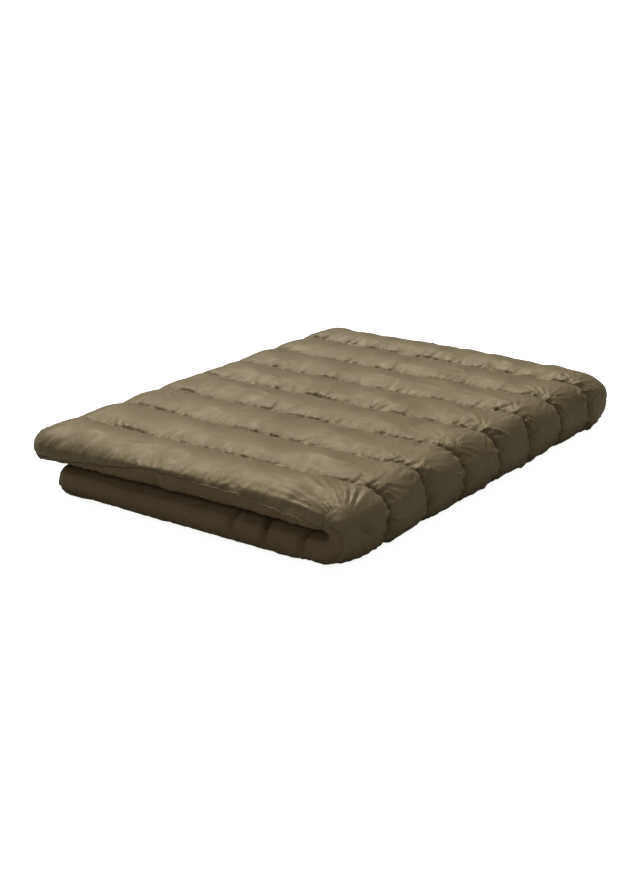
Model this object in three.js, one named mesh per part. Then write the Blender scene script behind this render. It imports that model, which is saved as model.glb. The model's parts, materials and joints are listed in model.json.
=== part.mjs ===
// Camp quilt, folded once in half along its long side.
//
// Two layers of thin fabric, the outer shell and the lining, are joined by a hem all the way round and held
// apart by baffle walls that run across the quilt. The walls make a row of channels, each filled with down.
// The quilt lies on its outer shell: the lower half is flat, the fold turns up on the +X side, and the upper
// half lies back over the lower one with its lining down.
//
// Frame: +X points at the fold, +Y runs along it, +Z is up. The origin is the middle of the underside.
// Millimetres throughout. The quilt is cut in three at the fold, so that it opens flat on two hinge lines.

import * as THREE from 'three';

// ---- Driving dimensions ----

const quiltLength = 1400;        // hem to hem, along the fold
const upperWidth = 1030;         // outside of the fold to the hem of the upper half
const lowerWidth = 930;          // outside of the fold to the hem of the lower half
const channelCount = 8;          // filled channels, side by side along the fold
const loft = 80;                 // one layer's thickness at the crest of a channel
const layerGap = 4;              // air between the linings of the two halves
const shellSeamDepth = 10;       // how far the shell is drawn in at a baffle seam
const liningSeamDepth = 6;       // how far the lining is drawn in at a baffle seam
const crestLand = 60;            // flat width along the crest of a channel
const endRoll = 55;              // width over which an open side rounds down to its hem
const fabricThickness = 1.5;     // shell and lining
const baffleThickness = 1.2;     // baffle wall
const hemThickness = 3;          // folded seam allowance between shell and lining
const hemInside = 6;             // how far the hem reaches in from the edge of the shell
const hemProud = 4;              // how far the hem stands out past the edge of the shell
const fillSideGap = 43;          // air between a down core and the baffle walls beside it
const fit = 0.3;                 // clearance between neighbouring pieces

// ---- Fineness of the facets ----

const rollSteps = 3;             // facets over a rounded end
const seamSteps = 2;             // facets from a seam up to the crest
const sectorSteps = 2;           // facets over an eighth of a turn of the fold
const fillSides = 8;             // sides of a down core

// ---- Derived sizes ----

const innerRadius = layerGap / 2;
const crestRadius = innerRadius + loft;
const middleRadius = innerRadius + loft / 2;
const foldX = upperWidth / 2 - crestRadius;
const foldZ = crestRadius;
const foldArc = Math.PI * middleRadius;
const shellEdgeY = quiltLength / 2 - hemProud;
const lowerEdge = -(lowerWidth - crestRadius - hemProud);
const upperEdge = foldArc + upperWidth - crestRadius - hemProud;
const channelPitch = 2 * shellEdgeY / channelCount;
const fillWidth = channelPitch - 2 * fillSideGap;
const rimOffset = hemThickness / 2 + fit;
const cuts = [foldArc / 4, foldArc * 3 / 4];
const halves = ['lower', 'fold', 'upper'];

// ---- Finishes ----

const shellFinish = { color: 0x6a6044, roughness: 0.42, metalness: 0 };
const liningFinish = { color: 0x5a4f38, roughness: 0.5, metalness: 0 };
const hemFinish = { color: 0x625839, roughness: 0.5, metalness: 0 };
const baffleFinish = { color: 0x3c382c, roughness: 0.8, metalness: 0 };
const downFinish = { color: 0xe6e2d6, roughness: 0.95, metalness: 0 };

// ---- The fold ----

// A point of the quilt laid out flat: along it from the lower half over the fold to the upper half, across it
// in y, and its radius, which is its height away from the mid-plane between the two halves. The slide moves it
// straight on along the quilt, which keeps a cut through the fold open by the same amount at every radius.
function foldOver(along, y, radius, slide = 0) {
  const turn = Math.PI * Math.min(1, Math.max(0, along / foldArc));
  const straight = along - foldArc * turn / Math.PI + slide;
  const x = foldX + radius * Math.sin(turn) + straight * Math.cos(turn);
  const z = foldZ - radius * Math.cos(turn) + straight * Math.sin(turn);
  return new THREE.Vector3(x, y, z);
}

// ---- The pillow shape of the quilt laid flat ----

// Rises from 0 at an open edge to 1 once the end roll is passed, as a quarter ellipse.
function rounded(distance, reach) {
  const short = Math.max(0, 1 - distance / reach);
  return Math.sqrt(Math.max(0, 1 - short * short));
}

function edgeDistance(along) {
  return Math.min(along - lowerEdge, upperEdge - along);
}

function endDistance(y) {
  return shellEdgeY - Math.abs(y);
}

// 1 on the crest of a channel, 0 on a seam. The outer side of the first and last channel has no seam.
function crestHeight(y) {
  const across = (y + shellEdgeY) / channelPitch;
  const channel = Math.min(channelCount - 1, Math.floor(across));
  const fromLeft = (across - channel) * channelPitch;
  const fromRight = channelPitch - fromLeft;
  const leftSeam = channel === 0 ? channelPitch : fromLeft;
  const rightSeam = channel === channelCount - 1 ? channelPitch : fromRight;
  return rounded(Math.min(leftSeam, rightSeam), (channelPitch - crestLand) / 2);
}

function openness(along, y) {
  return rounded(edgeDistance(along), endRoll) * rounded(endDistance(y), endRoll);
}

// Outer face of the shell and inner face of the lining, with a depth that sinks them into the quilt.
function shellRadius(along, y, depth) {
  const crest = crestRadius - shellSeamDepth * (1 - crestHeight(y)) - depth;
  const rim = middleRadius + rimOffset;
  return rim + (crest - rim) * openness(along, y);
}

function liningRadius(along, y, depth) {
  const crest = innerRadius + liningSeamDepth * (1 - crestHeight(y)) + depth;
  const rim = middleRadius - rimOffset;
  return rim + (crest - rim) * openness(along, y);
}

// ---- Stations along and across the quilt ----

function rollDistances() {
  const distances = [];
  for (let step = 0; step <= rollSteps; step += 1) {
    distances.push(endRoll * (1 - Math.cos(Math.PI / 2 * step / rollSteps)));
  }
  return distances;
}

function evenSteps(from, to, steps) {
  const list = [from];
  for (let step = 1; step < steps; step += 1) {
    list.push(from + (to - from) * step / steps);
  }
  list.push(to);
  return list;
}

// The stations of one third of the quilt, each with the slide that holds it clear of a cut.
function stations(half) {
  const slideAt = (along) => (cuts.includes(along) ? fit : 0);
  if (half === 'fold') {
    const arc = evenSteps(cuts[0], cuts[1], 2 * sectorSteps);
    return arc.map((along) => ({ along, slide: along < foldArc / 2 ? slideAt(along) : -slideAt(along) }));
  }
  if (half === 'lower') {
    const roll = rollDistances().map((distance) => lowerEdge + distance);
    const arc = evenSteps(0, cuts[0], sectorSteps);
    return [...roll, ...arc].map((along) => ({ along, slide: -slideAt(along) }));
  }
  const roll = rollDistances().map((distance) => upperEdge - distance);
  const arc = evenSteps(cuts[1], foldArc, sectorSteps);
  return [...arc, ...roll.reverse()].map((along) => ({ along, slide: slideAt(along) }));
}

// What is inside the quilt stops short of the hem along the open edge, where the two sheets meet.
function insideStations(half) {
  return stations(half).filter((station) => edgeDistance(station.along) > hemInside + fit);
}

// The rows across the quilt: an end roll, then the rise and fall of each channel between its seams.
function rows() {
  const rise = (channelPitch - crestLand) / 2;
  const list = rollDistances().map((distance) => -shellEdgeY + distance);
  for (let seam = 1; seam < channelCount; seam += 1) {
    const seamY = -shellEdgeY + seam * channelPitch;
    for (let step = -seamSteps; step <= seamSteps; step += 1) {
      const share = Math.abs(step) / seamSteps;
      list.push(seamY + Math.sign(step) * rise * share ** 1.5);
    }
  }
  list.push(...rollDistances().reverse().map((distance) => shellEdgeY - distance));
  return list;
}

// ---- Solids ----

// A closed block with a grid of facets, whose corners are moved by a function of three whole-number indices.
function gridSolid(columns, lines, corner) {
  const geometry = new THREE.BoxGeometry(1, 1, 1, columns, lines, 1);
  const points = geometry.attributes.position;
  for (let index = 0; index < points.count; index += 1) {
    const column = Math.round((points.getX(index) + 0.5) * columns);
    const line = Math.round((points.getY(index) + 0.5) * lines);
    const outside = points.getZ(index) < 0;
    const point = corner(column, line, outside);
    points.setXYZ(index, point.x, point.y, point.z);
  }
  geometry.computeVertexNormals();
  return geometry;
}

// Moves a point of a sheet's hidden face in from the open edges, so that the wall keeps its thickness there.
function insetFromEdges(along, y) {
  const edgeShare = Math.max(0, 1 - edgeDistance(along) / endRoll);
  const endShare = Math.max(0, 1 - endDistance(y) / endRoll);
  const inward = along < foldArc / 2 ? 1 : -1;
  return {
    along: along + inward * fabricThickness * edgeShare,
    y: y - Math.sign(y) * fabricThickness * endShare,
  };
}

function sheet(half, radiusAt, wallOutside) {
  const columns = stations(half);
  const lines = rows();
  return gridSolid(columns.length - 1, lines.length - 1, (column, line, outside) => {
    const { along, slide } = columns[column];
    const y = lines[line];
    if (outside === wallOutside) {
      return foldOver(along, y, radiusAt(along, y, 0), slide);
    }
    const hidden = insetFromEdges(along, y);
    return foldOver(hidden.along, hidden.y, radiusAt(along, y, fabricThickness), slide);
  });
}

function baffleWall(half, seamY) {
  const depth = fabricThickness + fit;
  const columns = insideStations(half);
  return gridSolid(columns.length - 1, 1, (column, line, outside) => {
    const { along, slide } = columns[column];
    const y = seamY + (line === 0 ? -1 : 1) * baffleThickness / 2;
    const radiusAt = outside ? shellRadius : liningRadius;
    return foldOver(insetFromEdges(along, seamY).along, y, radiusAt(along, seamY, depth), slide);
  });
}

function downCore(half, channelY) {
  const depth = fabricThickness + fit;
  const columns = insideStations(half);
  const steps = columns.length - 1;
  const geometry = new THREE.CylinderGeometry(1, 1, 1, fillSides, steps);
  const points = geometry.attributes.position;
  for (let index = 0; index < points.count; index += 1) {
    const { along, slide } = columns[Math.round((points.getY(index) + 0.5) * steps)];
    const top = shellRadius(along, channelY, depth);
    const bottom = liningRadius(along, channelY, depth);
    const taper = rounded(edgeDistance(along), endRoll);
    const y = channelY + points.getX(index) * fillWidth / 2 * taper;
    const radius = (top + bottom) / 2 + points.getZ(index) * (top - bottom) / 2;
    const point = foldOver(insetFromEdges(along, channelY).along, y, radius, slide);
    points.setXYZ(index, point.x, point.y, point.z);
  }
  geometry.computeVertexNormals();
  return geometry;
}

// The hem is a flat strip. Its path is a list of places on the edge of the shell, each with the direction
// in which the edge faces: 1, 0 or -1 along the quilt and across it.
function hemStrip(path) {
  return gridSolid(path.length - 1, 1, (column, line, outside) => {
    const place = path[column];
    const offset = line === 0 ? -hemInside : hemProud;
    const radius = middleRadius + (outside ? 1 : -1) * hemThickness / 2;
    const y = place.y + place.faceY * offset;
    return foldOver(place.along + place.faceAlong * offset, y, radius, place.slide);
  });
}

function hemArm(columns, side) {
  return columns.map((station) => ({ ...station, y: side * shellEdgeY, faceAlong: 0, faceY: side }));
}

// Out along one end, across the free side with its two corners, and back along the other end.
function hemOfHalf(half) {
  const side = half === 'lower' ? -1 : 1;
  const edge = side < 0 ? lowerEdge : upperEdge;
  const arm = stations(half).filter((station) => station.along >= 0 && station.along <= foldArc);
  const outward = side < 0 ? [...arm].reverse() : arm;
  const corners = [side, -side].map((end) => (
    { along: edge, slide: 0, y: end * shellEdgeY, faceAlong: side, faceY: end }
  ));
  return hemStrip([...hemArm(outward, side), ...corners, ...hemArm([...outward].reverse(), -side)]);
}

function hemOfFold(side) {
  const columns = stations('fold');
  return hemStrip(hemArm(side < 0 ? columns.reverse() : columns, side));
}

// ---- Assembly ----

const quilt = new THREE.Group();

function add(name, geometry, finish) {
  const mesh = new THREE.Mesh(geometry, new THREE.MeshStandardMaterial(finish));
  mesh.name = name;
  quilt.add(mesh);
}

for (const half of halves) {
  add(`outer_shell_${half}`, sheet(half, shellRadius, true), shellFinish);
  add(`lining_${half}`, sheet(half, liningRadius, false), liningFinish);
}

for (let seam = 1; seam < channelCount; seam += 1) {
  const seamY = -shellEdgeY + seam * channelPitch;
  for (const half of halves) {
    add(`baffle_wall_${seam}_${half}`, baffleWall(half, seamY), baffleFinish);
  }
}

for (let channel = 1; channel <= channelCount; channel += 1) {
  const channelY = -shellEdgeY + (channel - 0.5) * channelPitch;
  for (const half of halves) {
    add(`down_fill_${channel}_${half}`, downCore(half, channelY), downFinish);
  }
}

add('hem_lower', hemOfHalf('lower'), hemFinish);
add('hem_upper', hemOfHalf('upper'), hemFinish);
add('hem_fold_front', hemOfFold(-1), hemFinish);
add('hem_fold_back', hemOfFold(1), hemFinish);

export default quilt;
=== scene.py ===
"""A thick camp quilt, folded once in half, dressed around its CAD frame.

The quilt has an outer shell and a lining, joined by a hem all round and held apart by seven baffle walls,
with down between them. Both sheets are cut flat, laid over the fold, sewn along the baffle seams and blown
up as cloth. Each piece ends at the crown of the fold, and bends across the two hinge lines of the frame.

A place along the quilt is its length from the start of the fold: below zero on the lower half, then round
the fold, then on along the upper half. A place across it is the frame's Y. A radius is counted from the
middle of the fold, so it is also the height away from the plane between the halves. Metres throughout.
"""

import json
import logging
import math
from collections.abc import Iterable
from dataclasses import dataclass
from enum import Enum

import bmesh
import bpy
import numpy as np
from mathutils import Vector
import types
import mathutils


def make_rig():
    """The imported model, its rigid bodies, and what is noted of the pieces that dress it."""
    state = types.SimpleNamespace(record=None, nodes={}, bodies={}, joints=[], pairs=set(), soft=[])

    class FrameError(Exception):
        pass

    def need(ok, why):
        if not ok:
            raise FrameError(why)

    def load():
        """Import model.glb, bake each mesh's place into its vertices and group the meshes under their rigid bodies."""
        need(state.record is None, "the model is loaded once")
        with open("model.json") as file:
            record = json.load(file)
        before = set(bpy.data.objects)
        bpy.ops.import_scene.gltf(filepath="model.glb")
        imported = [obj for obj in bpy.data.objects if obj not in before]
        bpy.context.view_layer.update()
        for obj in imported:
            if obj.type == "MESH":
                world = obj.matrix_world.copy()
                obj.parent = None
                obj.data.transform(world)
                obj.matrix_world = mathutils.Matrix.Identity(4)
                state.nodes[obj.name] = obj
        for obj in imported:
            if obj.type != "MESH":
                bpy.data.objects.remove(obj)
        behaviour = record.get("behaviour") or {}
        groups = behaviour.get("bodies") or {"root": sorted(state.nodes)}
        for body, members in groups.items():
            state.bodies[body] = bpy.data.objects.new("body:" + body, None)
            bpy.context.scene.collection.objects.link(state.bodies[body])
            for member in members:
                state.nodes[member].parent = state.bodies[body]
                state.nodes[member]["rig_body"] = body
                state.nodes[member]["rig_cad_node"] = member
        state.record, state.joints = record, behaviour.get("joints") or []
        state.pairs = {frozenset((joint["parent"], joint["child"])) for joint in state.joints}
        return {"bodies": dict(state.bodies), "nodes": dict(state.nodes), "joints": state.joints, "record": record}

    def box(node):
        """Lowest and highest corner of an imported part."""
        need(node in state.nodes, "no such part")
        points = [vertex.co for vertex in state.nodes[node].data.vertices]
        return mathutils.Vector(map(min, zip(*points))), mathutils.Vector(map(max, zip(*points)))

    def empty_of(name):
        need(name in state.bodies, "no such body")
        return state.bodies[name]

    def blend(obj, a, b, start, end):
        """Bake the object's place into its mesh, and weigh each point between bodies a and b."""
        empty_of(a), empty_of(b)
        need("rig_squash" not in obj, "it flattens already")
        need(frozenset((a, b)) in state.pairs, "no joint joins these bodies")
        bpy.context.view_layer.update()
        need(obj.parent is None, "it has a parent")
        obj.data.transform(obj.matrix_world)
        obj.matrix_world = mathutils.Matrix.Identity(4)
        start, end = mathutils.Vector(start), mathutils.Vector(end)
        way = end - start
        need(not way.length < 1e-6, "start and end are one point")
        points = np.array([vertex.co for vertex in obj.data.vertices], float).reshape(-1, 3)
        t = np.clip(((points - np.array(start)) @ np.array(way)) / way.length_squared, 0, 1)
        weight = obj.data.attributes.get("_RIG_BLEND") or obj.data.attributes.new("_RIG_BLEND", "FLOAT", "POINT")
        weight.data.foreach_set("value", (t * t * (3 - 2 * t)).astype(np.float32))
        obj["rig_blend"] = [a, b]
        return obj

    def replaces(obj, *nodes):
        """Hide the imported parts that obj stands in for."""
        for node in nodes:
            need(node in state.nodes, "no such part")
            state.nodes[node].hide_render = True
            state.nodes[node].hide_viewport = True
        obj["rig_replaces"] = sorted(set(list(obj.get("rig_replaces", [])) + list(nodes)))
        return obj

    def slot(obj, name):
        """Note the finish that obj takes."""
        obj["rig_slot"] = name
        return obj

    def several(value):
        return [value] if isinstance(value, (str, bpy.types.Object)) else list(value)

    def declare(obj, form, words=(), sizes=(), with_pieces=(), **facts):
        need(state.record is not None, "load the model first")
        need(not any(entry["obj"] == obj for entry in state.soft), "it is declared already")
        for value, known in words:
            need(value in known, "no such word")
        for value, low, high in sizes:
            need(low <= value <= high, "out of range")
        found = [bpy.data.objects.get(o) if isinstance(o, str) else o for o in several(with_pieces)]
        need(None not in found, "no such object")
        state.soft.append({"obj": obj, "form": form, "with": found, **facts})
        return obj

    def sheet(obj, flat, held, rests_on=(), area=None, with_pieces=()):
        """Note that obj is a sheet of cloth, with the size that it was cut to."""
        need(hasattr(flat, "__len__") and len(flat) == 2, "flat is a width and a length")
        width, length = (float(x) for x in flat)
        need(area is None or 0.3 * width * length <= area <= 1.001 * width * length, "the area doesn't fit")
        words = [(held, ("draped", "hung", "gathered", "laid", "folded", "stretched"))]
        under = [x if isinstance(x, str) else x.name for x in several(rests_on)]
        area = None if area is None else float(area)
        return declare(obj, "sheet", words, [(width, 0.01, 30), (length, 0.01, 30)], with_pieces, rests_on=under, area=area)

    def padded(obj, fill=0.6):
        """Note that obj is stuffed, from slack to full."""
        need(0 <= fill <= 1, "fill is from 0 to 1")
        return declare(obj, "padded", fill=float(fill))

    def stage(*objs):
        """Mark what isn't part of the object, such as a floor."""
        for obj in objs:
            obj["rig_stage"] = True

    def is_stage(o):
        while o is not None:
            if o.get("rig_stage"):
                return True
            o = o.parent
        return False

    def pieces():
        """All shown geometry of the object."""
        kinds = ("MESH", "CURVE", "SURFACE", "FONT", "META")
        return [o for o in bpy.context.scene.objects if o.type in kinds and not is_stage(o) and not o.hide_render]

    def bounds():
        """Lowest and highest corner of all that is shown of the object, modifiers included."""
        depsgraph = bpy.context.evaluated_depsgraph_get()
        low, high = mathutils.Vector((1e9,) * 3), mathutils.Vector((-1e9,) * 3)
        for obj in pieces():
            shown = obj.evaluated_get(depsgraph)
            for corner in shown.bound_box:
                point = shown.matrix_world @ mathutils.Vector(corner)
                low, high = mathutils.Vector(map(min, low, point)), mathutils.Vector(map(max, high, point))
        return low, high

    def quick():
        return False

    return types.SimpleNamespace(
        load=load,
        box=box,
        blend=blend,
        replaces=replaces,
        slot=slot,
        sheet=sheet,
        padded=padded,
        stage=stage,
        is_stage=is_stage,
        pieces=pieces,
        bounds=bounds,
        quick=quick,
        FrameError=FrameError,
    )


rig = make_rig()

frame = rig.load()

LOG = logging.getLogger("camp_quilt")

Points = np.ndarray
SeamLines = list[tuple[Points, Points]]
Collection = bpy.types.bpy_prop_collection


class Half(Enum):
    """The two pieces that everything is cut into at the crown of the fold."""

    LOWER = "lower"
    UPPER = "upper"

    @property
    def bodies(self) -> tuple[str, str]:
        """The two bodies of the frame that the piece bends between."""
        return ("lower_half", "fold_spine") if self is Half.LOWER else ("fold_spine", "upper_half")

    @property
    def side(self) -> int:
        """-1 for the lower half, 1 for the upper."""
        return -1 if self is Half.LOWER else 1


class Face(Enum):
    """The two sheets of the quilt, by the side of it that they make."""

    SHELL = "outer_shell"
    LINING = "lining"


# ---- Curves ----


def smooth(share: Points) -> Points:
    """Turns a share from 0 to 1 into one that starts and ends gently."""
    held = np.clip(share, 0.0, 1.0)
    return held * held * (3.0 - 2.0 * held)


def quarter_round(distance: Points, reach: Points | float) -> Points:
    """Rises from 0 at an edge to 1 at the reach, as a quarter of an ellipse.

    Args:
        distance: How far each point is from the edge.
        reach: How far in the rounding goes.

    Returns:
        The height of the rounding at each point, from 0 to 1.
    """
    short = np.clip(1.0 - distance / reach, 0.0, 1.0)
    return np.sqrt(np.clip(1.0 - short * short, 0.0, 1.0))


def through(knots: tuple[tuple[float, float], ...], places: Points) -> Points:
    """A line through a few knots, eased so that it has no corners.

    Args:
        knots: Pairs of place and height, in order.
        places: Where the line is wanted.

    Returns:
        The height of the line at each place.
    """
    at, height = np.array(knots, float).T
    index = np.clip(np.searchsorted(at, places) - 1, 0, len(at) - 2)
    share = smooth((places - at[index]) / (at[index + 1] - at[index]))
    eased = height[index] + (height[index + 1] - height[index]) * share
    return 0.5 * eased + 0.5 * np.interp(places, at, height)


def wander(length: Points, wavelength: float, seed: int, octaves: int = 3) -> Points:
    """A random wave along a line, between about -1 and 1.

    Args:
        length: The place of each point along the line.
        wavelength: The longest wave.
        seed: Fixes the wave's shape.
        octaves: How many finer waves are added.

    Returns:
        The height of the wave at each point.
    """
    draw = np.random.default_rng(seed)
    total = np.zeros_like(length, dtype=float)
    for octave in range(octaves):
        for _ in range(3):
            wave = wavelength / 2.0 ** (octave + draw.uniform(0.0, 0.9))
            total += 0.5 ** octave * np.sin(math.tau * (length / wave + draw.uniform())) / 2.2
    return total


# ---- The folded quilt ----


@dataclass(frozen=True)
class FoldedQuilt:
    """The sizes of the folded quilt, read from the frame, and how a flat place maps onto it."""

    half_length: float
    upper_run: float
    lower_run: float
    crest: float
    fold_x: float
    fold_z: float
    channels: int
    lining_gap: float = 0.002
    hem_wave: float = 0.0016
    hem_wavelength: float = 0.085
    hem_skew: float = 0.83
    hem_seed: int = 5
    lower_wave: float = 0.35
    fold_stillness: float = 0.6
    fold_spread: float = 0.8
    squareness: float = 2.25
    upper_corner: float = 0.072
    lower_corner: float = 0.050
    front_turn: float = 0.032
    front_turn_reach: float = 0.13
    hem_radius_knots: tuple[tuple[float, float], ...] = (
        (-0.86, 0.062), (-0.66, 0.066), (-0.10, 0.068), (0.0, 0.060), (0.065, 0.040), (0.13, 0.026),
        (0.19, 0.020), (0.2576, 0.019), (0.36, 0.034), (0.50, 0.052), (0.77, 0.055), (0.93, 0.032),
        (1.10, 0.015), (1.21, 0.013),
    )

    @classmethod
    def from_frame(cls, frame: dict) -> "FoldedQuilt":
        """Reads the sizes from the boxes of the frame's nodes."""
        lower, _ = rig.box("outer_shell_lower")
        spine, spine_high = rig.box("outer_shell_fold")
        upper, upper_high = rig.box("outer_shell_upper")
        walls = [name for name in frame["nodes"] if name.startswith("baffle_wall_")]
        crest = (upper_high.z - lower.z) / 2.0
        fold_x = spine_high.x - crest
        return cls(
            half_length=-spine.y,
            upper_run=fold_x - upper.x,
            lower_run=fold_x - lower.x,
            crest=crest,
            fold_x=fold_x,
            fold_z=lower.z + crest,
            channels=len([name for name in walls if name.endswith("_fold")]) + 1,
        )

    @property
    def arc(self) -> float:
        """Length of the shell round the fold."""
        return math.pi * self.crest

    @property
    def crown(self) -> float:
        """The place along the quilt that is furthest out in the fold, where the pieces are cut."""
        return self.arc / 2.0

    @property
    def start(self) -> float:
        """The lower half's free edge."""
        return -self.lower_run

    @property
    def end(self) -> float:
        """The upper half's free edge."""
        return self.arc + self.upper_run

    @property
    def pitch(self) -> float:
        """From one baffle seam to the next."""
        return 2.0 * self.half_length / self.channels

    @property
    def seams(self) -> Points:
        """The places across the quilt of the baffle seams."""
        return -self.half_length + self.pitch * np.arange(1, self.channels)

    def near_crown(self, along: Points, reach: float, gain: float = 1.0) -> Points:
        """1 at the crown of the fold, easing to 0 at a reach from it; a gain over 1 widens its top."""
        return smooth(gain * (1.0 - np.abs(along - self.crown) / reach))

    def in_fold(self, along: Points, gain: float = 1.25) -> Points:
        """The share of what belongs to the fold, from 0 on the flat halves to 1 round the crown."""
        return self.near_crown(along, self.fold_spread * self.arc, gain)

    def hem_line(self, along: Points, across: Points) -> Points:
        """The hem's radius, with the small waves that its stitches pull into it."""
        calm = 1.0 - self.fold_stillness * self.near_crown(along, self.arc)
        calm *= np.where(along < self.crown, self.lower_wave, 1.0)
        pulled = self.front_turn * self.near_crown(along, self.front_turn_reach)
        radius = through(self.hem_radius_knots, along) + np.where(across < 0.0, pulled, 0.0)
        waves = wander(along + across * self.hem_skew, self.hem_wavelength, self.hem_seed)
        return radius + self.hem_wave * calm * waves

    def edge(self, half: Half) -> float:
        """The free edge of one of the halves."""
        return self.start if half is Half.LOWER else self.end

    def side_distance(self, along: Points) -> Points:
        """How far in a place is from the nearer free side."""
        return np.minimum(along - self.start, self.end - along)

    def end_distance(self, across: Points) -> Points:
        """How far in a place is from the nearer open end."""
        return self.half_length - np.abs(across)

    def rounded_corner(self, along: Points, across: Points) -> tuple[Points, Points]:
        """Draws the square corners of the cut in to the round corners of the sewn quilt.

        Args:
            along: Places along the quilt.
            across: Places across it.

        Returns:
            The same places with the corners rounded.
        """
        lower = along < self.crown
        corner = np.where(lower, self.lower_corner, self.upper_corner)
        from_side = np.clip(1.0 - self.side_distance(along) / corner, 0.0, None)
        from_end = np.clip(1.0 - self.end_distance(across) / corner, 0.0, None)

        def drawn_in(near: Points, beside: Points) -> Points:
            """How far the edge at one side of the corner comes in, by how near the point is to the other."""
            return near * (1.0 - np.sqrt(np.clip(1.0 - 0.5 * beside ** 2, 0.3, 1.0))) * corner

        along = along + np.where(lower, 1.0, -1.0) * drawn_in(from_side, from_end)
        return along, across - np.sign(across) * drawn_in(from_end, from_side)

    def place(self, along: Points, across: Points, radius: Points) -> Points:
        """Lays flat places over the fold.

        Args:
            along: Places along the quilt.
            across: Places across it.
            radius: Their radii.

        Returns:
            The points in the frame, one row each.
        """
        turn = np.clip(along / self.arc, 0.0, 1.0) * math.pi
        straight = along - self.arc * turn / math.pi
        sine, cosine = np.sin(turn), np.cos(turn)
        power = self.squareness
        reach = radius / (np.abs(sine) ** power + np.abs(cosine) ** power) ** (1.0 / power)
        x = self.fold_x + reach * sine + straight * cosine
        z = self.fold_z - reach * cosine + straight * sine
        return np.stack([x, across, z], axis=-1)

    def bend_weights(self, points: Points, half: Half) -> Points:
        """How far each point of a piece follows the second of its two bodies.

        Args:
            points: The points in the frame.
            half: The half of the quilt that the piece belongs to.

        Returns:
            The shares, which grow with the angle round the fold.
        """
        out = np.maximum(points[:, 0] - self.fold_x, 0.0)
        down = self.fold_z - points[:, 2]
        turn = np.arctan2(out, np.where(out > 0.0, down, -half.side * np.maximum(np.abs(down), 1e-6)))
        share = turn / (math.pi / 2.0) - (1.0 if half is Half.UPPER else 0.0)
        return np.clip(share, 0.0, 1.0)


# ---- Creases ----


@dataclass(frozen=True)
class Relief:
    """Something that stands up from the cloth round a place."""

    along: float
    across: float

    @property
    def extent(self) -> float:
        """How far from its place the relief may reach."""
        raise NotImplementedError

    def standing(self, along: Points, across: Points) -> Points:
        """How high it stands, so far along and across from its place."""
        raise NotImplementedError

    def add_to(self, heights: Points, columns: Points, rows: Points) -> None:
        """Adds the relief to the heights of a sheet.

        Args:
            heights: One height for each column and row, changed in place.
            columns: The place of each column along the quilt.
            rows: The place of each row across it.
        """
        part, away = [], []
        for lines, middle in ((columns, self.along), (rows, self.across)):
            part.append(slice(*np.searchsorted(lines, (middle - self.extent, middle + self.extent))))
            away.append(lines[part[-1]] - middle)
        heights[tuple(part)] += self.standing(*np.meshgrid(*away, indexing="ij"))


@dataclass(frozen=True)
class Crease(Relief):
    """One ridge pinched up in the cloth, with a furrow down each side of it."""

    heading: float
    length: float
    width: float
    height: float
    furrow: float = 0.7
    curl: float = 0.12
    widening: tuple[float, float] = (0.75, 0.6)
    tip: tuple[float, float] = (0.06, 0.14)

    @property
    def extent(self) -> float:
        """How far from its start the crease may reach."""
        return self.length + 4.0 * self.width

    def standing(self, along: Points, across: Points) -> Points:
        """How high the crease stands, so far along and across from its start."""
        cosine, sine = math.cos(self.heading), math.sin(self.heading)
        share = (along * cosine + across * sine) / self.length
        curl = self.curl * self.length * share * share * math.sin(31.0 * self.along + 17.0 * self.across)
        aside = across * cosine - along * sine - curl
        narrow, wider = self.widening
        spread = (aside / (self.width * (narrow + wider * np.clip(share, 0.0, 1.0)))) ** 2
        behind, rise = self.tip
        fade = smooth((share + behind) / rise) * (1.0 - smooth(share))
        return self.height * fade * (1.0 - self.furrow * spread) * np.exp(-spread)


@dataclass(frozen=True)
class Fan(Relief):
    """Folds that spread out in the cloth from a point where it is pulled."""

    reach: float
    height: float
    wave: float
    clear: float
    narrow: float
    seed: int

    @property
    def extent(self) -> float:
        """How far from its middle the fan may reach."""
        return 1.3 * self.reach

    def standing(self, along: Points, across: Points) -> Points:
        """How high the folds stand, so far along and across from the fan's middle."""
        across = self.narrow * across
        far, turn = np.hypot(along, across), np.arctan2(across, np.abs(along)) * np.sign(along + 1e-9)
        turn = np.where(along < 0.0, turn + math.pi, turn)
        waves = wander(turn + 0.5 * far, self.wave, self.seed, octaves=1)
        span = self.reach * (0.75 + 0.25 * wander(turn, 0.9, self.seed + 1, octaves=1))
        fade = smooth((far - self.clear) / (0.2 * self.reach)) * (1.0 - smooth(far / span))
        return self.height * fade * (1.4 * np.abs(waves) ** 1.3 * np.sign(waves))


@dataclass(frozen=True)
class Puckers:
    """The many small creases that a gathered seam pulls into the cloth beside it."""

    spacing: float
    length: tuple[float, float]
    width: tuple[float, float]
    height: tuple[float, float]
    slant: float
    gaps: tuple[float, float] = (0.35, 1.9)
    strengths: tuple[float, float] = (0.25, 1.0)
    signs: tuple[float, ...] = (1.0, 1.0, -0.7)

    def beside(self, start: tuple, end: tuple, heading: float, seed: int) -> list[Crease]:
        """Scatters creases along a straight seam.

        Args:
            start: Where the seam starts, along and across the quilt.
            end: Where it ends.
            heading: The direction away from the seam.
            seed: Fixes the scatter.

        Returns:
            The creases.
        """
        draw = np.random.default_rng(seed)
        path = np.linspace(start, end, 400)
        step = np.linalg.norm(path[1] - path[0])
        made, place = [], draw.uniform(0.0, self.spacing)
        while place < step * (len(path) - 1):
            at = int(place / step)
            strength = draw.uniform(*self.strengths) ** 1.4
            least, most = self.height
            made.append(Crease(
                *path[at],
                heading=heading + draw.normal(0.0, self.slant),
                length=draw.uniform(*self.length) * (0.5 + 0.5 * strength),
                width=draw.uniform(*self.width),
                height=(least + (most - least) * strength) * draw.choice(self.signs),
            ))
            place += self.spacing * draw.uniform(*self.gaps)
        return made


# ---- Mesh and cloth work ----


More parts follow.
